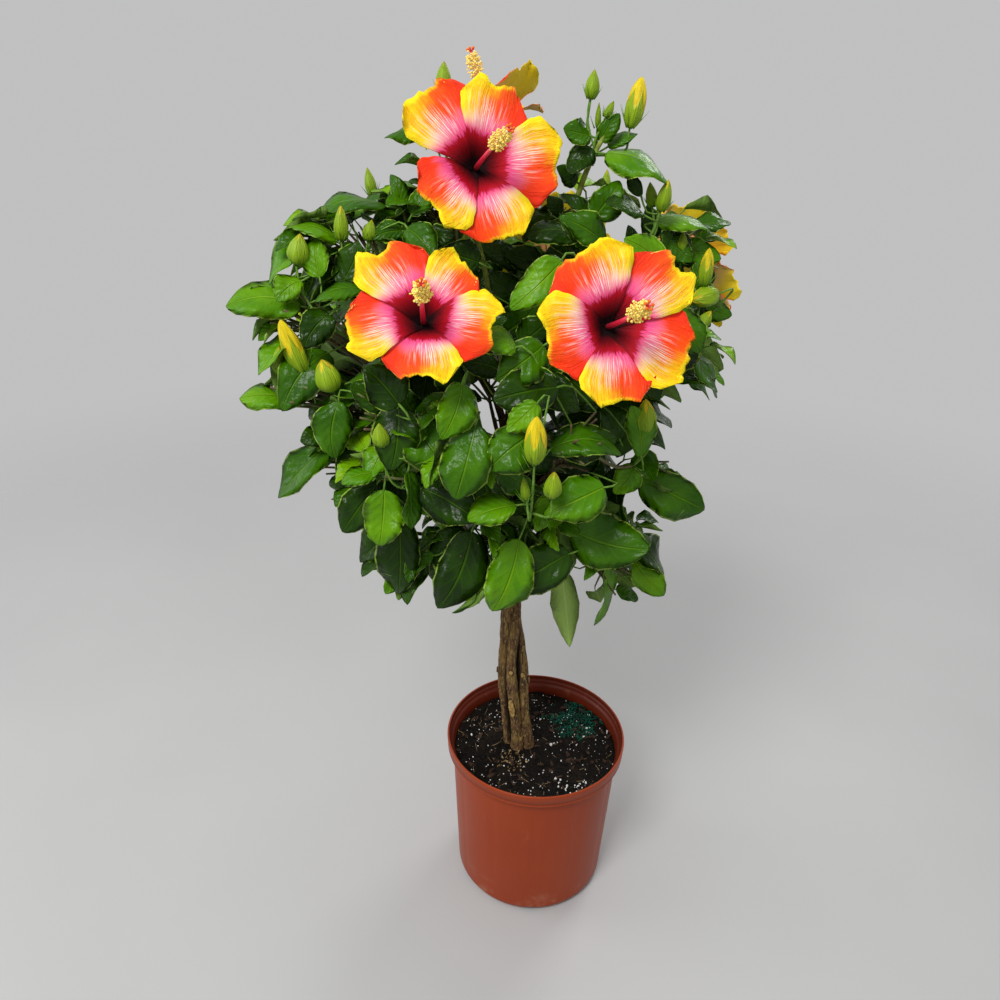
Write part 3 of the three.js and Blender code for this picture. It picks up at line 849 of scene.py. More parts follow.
# ---- Limbs -------------------------------------------------------------------------------------
# The strands go on above the braid as leaders, and boughs leave them for the masses of leaves. They
# are slender, have the trunk's bark, bow upwards a little and swell at their joints.

MASSES = sorted(name.removeprefix("foliage_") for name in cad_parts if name.startswith("foliage_"))
LEADERS = ["top_right", "top_left", "rear_upper_right", "front_upper_left", "front_upper_right"]
WITHOUT_A_LIMB = ["low_left_hanging", "tall_shoot"]
LEADER_RADIUS = 5.2 * MM
BOUGH_RADIUS = 3.2 * MM
LIMB_POINTS = 26
LOWEST_BOUGH, LOWEST_END, HIGHEST_END = 0.556, 0.58, 1.03
CROWN_MIDDLE = Vector((-52 * MM, 0, 770 * MM))
CROWN_HALF = (250 * MM, 220 * MM, 270 * MM)


def middle_of(mass):
    """The middle of a mass of leaves."""
    low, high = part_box("foliage_" + mass)
    return (Vector(low) + Vector(high)) / 2


def reach_of(mass):
    """How far a mass of leaves reaches from its middle, along each axis."""
    low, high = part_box("foliage_" + mass)
    return (Vector(high) - Vector(low)) / 2


def smooth_path(stops, count):
    """Points at even steps of a smooth curve through a few stops."""
    padded = [2 * stops[0] - stops[1], *stops, 2 * stops[-1] - stops[-2]]
    path = []
    for i in range(count):
        at = (len(stops) - 1) * i / (count - 1)
        k = min(int(at), len(stops) - 2)
        t = at - k
        a, b, c, d = padded[k:k + 4]
        path.append(0.5 * ((2 * b) + (c - a) * t + (2 * a - 5 * b + 4 * c - d) * t * t
                           + (3 * b - a - 3 * c + d) * t ** 3))
    return path


def leaving_height(end):
    """How high up the trunk a bough leaves for its end: the higher its end, the higher it leaves."""
    share = (end.z - LOWEST_END) / (HIGHEST_END - LOWEST_END)
    return LOWEST_BOUGH + share * (fork.z - 6 * MM - LOWEST_BOUGH)


# The tallest shoot's limb stands free above the leaves, so its way is set, in millimetres.
TALL_SHOOT = [(-24, -6, 790), (-4, -11, 905), (12, -10, 978), (24, -10, 1012), (34, -10, 1031)]


def limb_path(mass):
    """The way of the limb that carries a mass, from the trunk to the mass's middle."""
    is_leader = mass in LEADERS
    end = middle_of(mass)
    start = fork.copy()
    start.z = fork.z - 4 * MM if is_leader else leaving_height(end)
    outward = Vector((end.x - start.x, end.y - start.y, 0)).normalized()
    start += outward * (8 * MM if is_leader else 6 * MM)
    span = (end - start).length
    rise = 0.3 if is_leader else 0.13
    if mass == "tall_shoot":
        return smooth_path([start] + [Vector(stop) * MM for stop in TALL_SHOOT], LIMB_POINTS)
    inner = start.lerp(end, 0.3) + outward * span * (-0.06 if is_leader else 0.03)
    outer = start.lerp(end, 0.62)
    inner.z += rise * 0.6 * span
    outer.z += rise * 0.5 * span
    return smooth_path([start, inner, outer, end], LIMB_POINTS)


def with_kinks(path, order):
    """A path that is pushed about a little between its ends."""
    for i, point in enumerate(path):
        east = noise.noise(point * 30 + Vector((order, 0, 0)))
        north = noise.noise(point * 30 + Vector((0, order, 9)))
        fade = math.sin(math.pi * i / (LIMB_POINTS - 1))
        yield point + Vector((east, north, 0)) * 3.5 * MM * fade


limb_paths = {}
for order, mass in enumerate(MASSES):
    path = list(with_kinks(limb_path(mass), order))
    limb_paths[mass] = path
    foot_radius = LEADER_RADIUS if mass in LEADERS else BOUGH_RADIUS

    def limb_radius(share):
        joint = 1 + 0.10 * max(0, math.sin(share * 42)) ** 6
        return foot_radius * (1 - 0.48 * share) * joint

    if mass not in WITHOUT_A_LIMB:
        wood.add(*tube(path, limb_radius, 12, furrowed(order + 11, 0.7))[:2], BARK)

trunk_and_limbs = wood.piece("trunk_and_limbs", [bark_material, scar_material], "bark")
limb_nodes = [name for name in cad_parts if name.startswith(("leader_", "bough_"))]
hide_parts("trunk", *limb_nodes)

# ---- Leaves ------------------------------------------------------------------------------------
# Broad, pointed, thin but stiff leaves, glossy above and paler and duller below, with a pale rim
# and veins and shallow teeth. Each is folded a little along its midrib and hangs from its stalk.

LEAF_ROWS = 13
LEAF_COLUMNS = (-1, -0.5, 0, 0.5, 1)
TOOTH = 0.055
LEAF_THICKNESS = 0.7 * MM


def leaf_faces():
    """The faces of one leaf: its upper side in four strips and its lower side in two."""
    inner = LEAF_ROWS - 1
    columns = len(LEAF_COLUMNS)
    base, tip = 0, 1 + inner * columns

    def upper(i, c):
        return 1 + i * columns + c

    def lower(i):
        return tip + 1 + i

    top, under = [], []
    for c in range(columns - 1):
        top.append((base, upper(0, c), upper(0, c + 1)))
        for i in range(inner - 1):
            top.append((upper(i, c), upper(i + 1, c), upper(i + 1, c + 1), upper(i, c + 1)))
        top.append((upper(inner - 1, c), tip, upper(inner - 1, c + 1)))
    under.append((base, lower(0), upper(0, 0)))
    under.append((base, upper(0, 4), lower(0)))
    for i in range(inner - 1):
        under.append((upper(i, 0), lower(i), lower(i + 1), upper(i + 1, 0)))
        under.append((lower(i), upper(i, 4), upper(i + 1, 4), lower(i + 1)))
    under.append((upper(inner - 1, 0), lower(inner - 1), tip))
    under.append((lower(inner - 1), upper(inner - 1, 4), tip))
    return top, under


LEAF_TOP, LEAF_UNDER = leaf_faces()


def leaf_points(base, ahead, facing, length, width, fold, droop, bow, wave, phase):
    """The points and map of one leaf that starts at base, points ahead and faces a way.

    fold lifts its two halves, droop lets its end hang, bow arches it and wave ripples its edges.
    """
    ahead = ahead.normalized()
    side = facing.cross(ahead).normalized()
    facing = ahead.cross(side)
    # No two leaves are alike: the belly sits higher or lower, and the blade twists and swerves.
    belly = 0.80 + 0.10 * math.sin(7.3 * phase)
    twist = 0.55 * math.sin(11.1 * phase + 1)
    swerve = 0.07 * math.sin(5.7 * phase + 2)

    def at(t, c, row=0):
        """The point at share t of the length, and c of the half width from the midrib."""
        half = width / 2 * math.sin(math.pi * t ** belly) ** (0.54 + 0.16 * t)
        half *= 1 + 0.10 * c * math.sin(3.1 * phase) + 0.05 * math.sin(8 * t + 4 * phase)
        if abs(c) == 1 and t > 0.25 and row % 2:
            half *= 1 + TOOTH
        turn = twist * (t - 0.4)
        across = side * math.cos(turn) + facing * math.sin(turn)
        up = facing * math.cos(turn) - side * math.sin(turn)
        curl = 0.10 * math.sin(9.7 * phase) * t ** 4
        sag = (4 * bow * t * (1 - t) - droop * t * t - curl) * length
        rise = math.sin(fold) * half * abs(c) + (0.03 * half if abs(c) == 0.5 else 0)
        ripple = wave * half * abs(c) * math.sin(2 * math.pi * 1.35 * t + phase + (1.9 if c > 0 else 0))
        return (base + ahead * length * (t - 0.12 * droop * t * t) + facing * sag
                + side * swerve * length * 4 * t * (1 - t) + across * math.cos(fold) * half * c
                + up * (rise + ripple))

    points = [base.copy()]
    places = [(0.5, 0.0)]
    # The rows stand closer together at the leaf's two ends.
    steps = [i / LEAF_ROWS for i in range(1, LEAF_ROWS)]
    stations = [0.3 * step + 0.35 * (1 - math.cos(math.pi * step)) for step in steps]
    for row, t in enumerate(stations):
        for c in LEAF_COLUMNS:
            points.append(at(t, c, row))
            places.append((0.5 + c / 2, t))
    points.append(at(1, 0))
    places.append((0.5, 1.0))
    for t in stations:
        points.append(at(t, 0) - facing * LEAF_THICKNESS)
        places.append((0.5, t))
    return points, places


PALE_RIM = (0.30, 0.44, 0.06)


def leaf_finish(name, deep, fresh, vein, gloss):
    """The upper side of a leaf: a mottled green with paler veins and rim, and a soft gloss."""
    finish = Finish(name)
    across, along = finish.on_map()
    where = finish.place()
    from_rib = abs(across - 0.5) * 2
    midrib = from_rib.between(0.075, 0.02)
    # Side veins leave the midrib and run towards the tip.
    blotch = finish.mottle(where, 22, 3)
    slant = (along - from_rib * 0.34 + blotch * 0.16) * 36
    side_veins = slant.wave().between(0.88, 1.0) * from_rib.between(0.9, 0.2)
    rim = from_rib.between(0.925, 0.955)
    veins = (midrib * 0.38).largest(side_veins * 0.12)
    cells = finish.mottle(where, 420, 3, 0.6)
    green = finish.mixed(blotch.between(0.3, 0.72), deep, fresh)
    veined = finish.mixed(rim * 0.9, finish.mixed(veins, green, vein), PALE_RIM)
    dents = finish.mottle(where, 95, 2, 0.5)
    puckers = finish.mottle(where, 210, 2, 0.5)
    quilted = (slant.wave() * 0.10 * from_rib.between(0.0, 0.3) + cells * 0.12 + blotch * 1.5
               + dents * 0.95 + puckers * 0.20 - midrib * 0.8)
    return finish.surface(
        Base_Color=veined,
        Roughness=gloss - 0.01 + 0.14 * cells,
        Normal=finish.raised(quilted, 0.8, 0.0022),
        Specular_IOR_Level=0.17,
    )


def under_finish(name, dull, vein):
    """The lower side of a leaf: paler and duller, with the veins standing out."""
    finish = Finish(name)
    across, along = finish.on_map()
    from_rib = abs(across - 0.5) * 2
    midrib = from_rib.between(0.12, 0.03)
    slant = (along - from_rib * 0.30) * 44
    ribs = midrib.largest(slant.wave().between(0.8, 1.0) * 0.6)
    felt = finish.mottle(finish.place(), 300, 4)
    paler = tuple(channel * 1.25 for channel in dull)
    return finish.surface(
        Base_Color=finish.mixed(ribs * 0.7, finish.mixed(felt, dull, paler), vein),
        Roughness=0.68 + 0.1 * felt,
        Normal=finish.raised(ribs + felt * 0.2, 0.5, 0.001),
    )


# From the darkest to the palest, the four upper finishes show a leaf's age and also paint the shade and light
# on it.
LEAF_FINISHES = [
    leaf_finish("leaf_old", (0.007, 0.026, 0.0002), (0.019, 0.062, 0.0003), (0.07, 0.17, 0.003), 0.23),
    leaf_finish("leaf_full", (0.020, 0.078, 0.0002), (0.046, 0.145, 0.0004), (0.13, 0.29, 0.005), 0.24),
    leaf_finish("leaf_bright", (0.048, 0.165, 0.0002), (0.11, 0.27, 0.0005), (0.23, 0.42, 0.01), 0.28),
    leaf_finish("leaf_young", (0.105, 0.26, 0.0005), (0.20, 0.38, 0.001), (0.38, 0.55, 0.02), 0.34),
    under_finish("leaf_under", (0.085, 0.17, 0.012), (0.19, 0.31, 0.04)),
    under_finish("leaf_under_young", (0.22, 0.35, 0.06), (0.33, 0.47, 0.12)),
]
OLD_AND_SHADED, FULL, BRIGHT, YOUNG, UNDER, UNDER_YOUNG = range(6)

# ---- Open blooms: where they are ---------------------------------------------------------------
# The shoots keep clear of the blooms, so the places of the blooms come first. Each has its throat in
# millimetres, the way that it faces, and its size as a share of the full one.

BLOOM_RADIUS = 76 * MM
FRONT_BLOOMS = ("top", "left", "right")
BLOOMS = {
    "top": ((-91, -70, 1005), (0.12, -0.95, 0.24), 1.0),
    "left": ((-132, -214, 894), (0.04, -0.84, 0.54), 0.92),
    "right": ((35, -208, 889), (0.2, -0.92, 0.34), 0.94),
    "top_rear": ((-91, 62, 1048), (-0.14, 0.14, 0.98), 0.95),
    "rear_middle": ((-8, 194, 888), (-0.12, 0.92, 0.36), 1.0),
    "rear_right_high": ((163, 146, 906), (0.50, 0.74, 0.44), 0.70),
    "rear_right_low": ((181, 100, 862), (0.78, 0.60, 0.2), 0.62),
}
bloom_places = {}
for name, (throat, faces_way, size) in BLOOMS.items():
    axis = Vector(faces_way).normalized()
    bloom_places[name] = (Vector(throat) * MM, axis, size)


def in_a_bloom(point, margin=0.0):
    """Whether a point lies in the space that a bloom fills or looks out over."""
    for name, (throat, axis, size) in bloom_places.items():
        offset = point - throat
        height = offset.dot(axis)
        radius = (offset - axis * height).length
        front = 120 * MM if name in FRONT_BLOOMS else 45 * MM
        if -14 * MM - margin < height < front and radius < BLOOM_RADIUS * size * 0.93 + margin:
            return True
    return False


# ---- Shoots ------------------------------------------------------------------------------------
# Limbs divide into brown twigs and green shoots that grow out to the crown's skin and carry the
# leaves, which stand round a shoot at the golden angle, oldest at its foot and youngest at its tip.

GOLDEN_ANGLE = math.radians(137.5)
SHOOT_POINTS = 9
BOX_SLACK = 7 * MM
HEART = 0.62
STALK = 1.15 * MM
FRONT = Vector((0, -0.92, 0.40))
draw = random.Random(20)

leaves = {"front": Bundle(), "back": Bundle()}
green_wood = Bundle()
BROWN, GREEN, LIME = range(3)
leaf_spots = []
set_spots = []
twig_nodes = []

# Stems that stand free in front of the leaves: radius at the foot in millimetres, finish, and points
# in millimetres. The first is the stout stalk of the highest bloom.
FREE_STEMS = [
    (3.2, LIME, [(-60, 0, 780), (-78, -15, 852), (-81, -25, 881), (-89, -35, 919), (-98, -42, 945),
                 (-103, -44, 965)]),
    (3.4, LIME, TALL_SHOOT),
    (1.0, GREEN, [(25, -10, 1016), (18, -10, 1035), (15, -10, 1051), (16, -10, 1062)]),
    (2.3, BROWN, [(-70, -60, 660), (-71, -110, 660), (-27, -115, 655), (8, -100, 610), (44, -92, 589),
                  (97, -85, 579)]),
    (2.0, BROWN, [(-70, -40, 690), (-89, -110, 720), (-118, -150, 719), (-133, -175, 722),
                  (-159, -188, 726), (-174, -190, 729)]),
    (2.2, BROWN, [(-40, -80, 730), (-8, -178, 761), (26, -165, 749), (58, -130, 720), (79, -118, 716)]),
    (1.7, BROWN, [(-110, -20, 850), (-162, -30, 921), (-164, -30, 938), (-168, -30, 954)]),
    (1.5, GREEN, [(-40, -90, 670), (-33, -180, 690), (-31, -215, 709), (-31, -228, 742),
                  (-31, -235, 768)]),
    (2.0, GREEN, [(60, -20, 900), (88, -18, 935), (96, -20, 962)]),
    (1.6, GREEN, [(-180, -60, 800), (-240, -100, 855), (-262, -98, 885), (-268, -92, 908)]),
    (1.8, BROWN, [(-170, -80, 740), (-225, -110, 770), (-255, -112, 780), (-272, -110, 786)]),
    (1.3, GREEN, [(-120, -150, 700), (-160, -185, 715), (-172, -192, 738), (-174, -195, 762)]),
]


def away_from(direction, axis):
    """The part of a direction that is square to an axis."""
    return direction - axis * direction.dot(axis)


def crowded(centre, length):
    """Whether a leaf would lie on top of another."""
    return any((centre - other).length < 0.27 * (length + size) / 2 for other, size in leaf_spots)


def hides_a_set_leaf(centre, length):
    """Whether a leaf would lie in front of one of the set leaves."""
    for other, size in set_spots:
        forward = (centre - other).dot(FRONT)
        aside = away_from(centre - other, FRONT).length
        if forward > 4 * MM and aside < 0.36 * (size + length):
            return True
    return False


def in_the_box(point):
    """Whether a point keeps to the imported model's box, with a little slack."""
    sides = zip(cad_low, point, cad_high)
    return all(low - BOX_SLACK < value < high + BOX_SLACK for low, value, high in sides)


crown = [(middle_of(mass), reach_of(mass)) for mass in MASSES]


def in_the_crown(point, ease):
    """Whether a point lies in one of the masses, drawn as ellipsoids and grown by ease."""
    for centre, reach in crown:
        offset = point - centre
        if sum((o / r) ** 2 for o, r in zip(offset, reach)) < ease ** 2:
            return True
    return False


# Sky shows through the crown here: (a point, the way through, half the gap's width in millimetres).
LOOKS_THROUGH = [
    ((-80, -100, 781), (-0.02, 0.94, -0.33), 20), ((42, -60, 939), (0.12, 0.98, -0.14), 24),
    ((152, -60, 736), (0.24, 0.92, -0.36), 34), ((123, -60, 499), (0.18, 0.82, -0.54), 17),
    ((-285, -100, 739), (-0.25, 0.90, -0.36), 20), ((-254, -120, 658), (-0.21, 0.87, -0.45), 16),
]


def blocks_a_view(centre, length):
    """Whether a leaf would close one of the looks through the crown."""
    for through, way, half in LOOKS_THROUGH:
        aside = away_from(centre - Vector(through) * MM, Vector(way).normalized())
        if aside.length < half * MM + 0.24 * length:
            return True
    return False


def leaf_kind(age):
    """The finish of a leaf of about this age; an age raised for shade picks a darker finish, as painted
    shade.
    """
    roll = age + draw.uniform(-0.16, 0.16)
    for until, kind in ((0.2, YOUNG), (0.45, BRIGHT), (0.78, FULL)):
        if roll < until:
            return kind
    return OLD_AND_SHADED


def scattered():
    """A random push of up to 1 along each axis."""
    return Vector((draw.uniform(-1, 1), draw.uniform(-1, 1), draw.uniform(-1, 1)))


def add_leaf(base, ahead_way, facing, length, width, kind, fold, droop, bow, wave):
    """One blade, joined to the front or the back piece, unless it would leave the box."""
    phase = draw.uniform(0, FULL_TURN)
    points, places = leaf_points(base, ahead_way, facing, length, width, fold, droop, bow, wave, phase)
    if not all(in_the_box(point) for point in points):
        return False
    centre = base + ahead_way * length * 0.5
    under = UNDER_YOUNG if kind == YOUNG else UNDER
    finish = [kind] * len(LEAF_TOP) + [under] * len(LEAF_UNDER)
    leaves["front" if centre.y < 0 else "back"].add(points, LEAF_TOP + LEAF_UNDER, finish, places)
    leaf_spots.append((centre, length))
    return True


def nearest_twig(point):
    """The place on a twig or shoot that is nearest to a point."""
    return min(twig_nodes, key=lambda node: (node - point).length)


def add_stalk(stops, thick):
    """The green stalk of one leaf."""
    stalk = smooth_path(stops, 3 * len(stops) - 4)
    green_wood.add(*tube(stalk, lambda share: thick * (1 - 0.25 * share), 5)[:2], GREEN)


def grow_leaf(joint, stalk_way, outward, length, age, inside=False):
    """One leaf on its stalk, where there is room for it.

    age runs from 0, just unfolded, to 1, old and dark; an inside leaf keeps to the crown's heart.
    """
    stalk_length = length * draw.uniform(0.22, 0.36)
    width = length * draw.uniform(0.62, 0.76)
    base = joint + stalk_way * stalk_length + Vector((0, 0, 2 * MM))
    level = Vector((stalk_way.x, stalk_way.y, 0)).normalized()
    hang = draw.uniform(0.20, 0.95) * (0.35 + 0.65 * age)
    ahead_way = (level * 0.75 + outward * 0.45 - Vector((0, 0, hang))).normalized()
    facing = (Vector((0, 0, 0.70)) + outward * 0.80 + scattered() * 0.42).normalized()
    facing = away_from(facing, ahead_way).normalized()
    fold = draw.uniform(-0.05, 0.36) + 0.35 * (1 - age)
    droop = draw.uniform(0.02, 0.26)
    centre = base + ahead_way * length * 0.5
    tip = base + ahead_way * length - facing * droop * length
    deep = sum((offset / half) ** 2 for offset, half in zip(centre - CROWN_MIDDLE, CROWN_HALF))
    # Leaves inside the crown and low down on it take darker finishes, as painted shade.
    kind = leaf_kind(age + 1.1 * max(0.0, 0.72 - deep) + 1.5 * max(0.0, 0.80 - centre.z))
    if crowded(centre, length) or hides_a_set_leaf(centre, length) or blocks_a_view(centre, length):
        return
    if in_a_bloom(centre, 8 * MM) or in_a_bloom(tip, 4 * MM) or in_a_bloom(base):
        return
    if inside and deep > HEART:
        return
    if not inside and not (in_the_crown(centre, 1.05) and in_the_crown(tip, 1.15)):
        return
    if add_leaf(base, ahead_way, facing, length, width, kind, fold, droop, 0.03, 0.20):
        sag = (joint + base) / 2 + Vector((0, 0, -1.5 * MM))
        add_stalk([joint, sag, base + ahead_way * 2 * MM], STALK * (0.6 + 0.5 * age))


def spread_directions(count, turn_by):
    """Directions spread evenly over a ball."""
    for i in range(count):
        z = 1 - 2 * (i + 0.5) / count
        angle = i * GOLDEN_ANGLE + turn_by
        level = math.sqrt(1 - z * z)
        yield Vector((level * math.cos(angle), level * math.sin(angle), z))


SHOOTS_TO_A_MASS = 19
SHOOTS_RISE_BELOW = 0.82
shoots = []
for order, mass in enumerate(MASSES):
    centre, reach = middle_of(mass), reach_of(mass)
    path = limb_paths[mass]
    outward = (centre - CROWN_MIDDLE).normalized()
    raised = Vector((0, 0, 12 * MM if centre.z < SHOOTS_RISE_BELOW else 0))
    for direction in spread_directions(SHOOTS_TO_A_MASS, order * 1.9):
        if direction.dot(outward) < -0.6 or mass == "tall_shoot":
            continue
        spread = Vector([d * r * draw.uniform(0.30, 0.66) for d, r in zip(direction, reach)])
        tip = centre + raised + spread
        if blocks_a_view(tip, 20 * MM):
            continue
        start = path[int((LIMB_POINTS - 1) * draw.uniform(0.70, 1.0))]
        span = (tip - start).length
        halfway = start.lerp(tip, 0.5) + Vector((0, 0, 0.07 * span))
        shoot = smooth_path([start, halfway, tip], SHOOT_POINTS)
        thick = (1.4 + 7 * span) * MM
        bark = furrowed(len(shoots), 0.5)
        green_wood.add(*tube(shoot, lambda share: thick * (1 - 0.45 * share), 7, bark)[:2], BROWN)
        twig_nodes.extend(shoot[3:])
        shoots.append((shoot, (outward * 0.6 + direction * 0.7).normalized()))

for radius, look, stops in FREE_STEMS:
    stem = smooth_path([Vector(stop) * MM for stop in stops], 5 * len(stops))
    bark = furrowed(len(stops) + stops[0][0], 0.5)
    green_wood.add(*tube(stem, lambda share: radius * MM * (1 - 0.3 * share), 9, bark)[:2], look)
    twig_nodes.extend(stem[len(stem) // 3:])
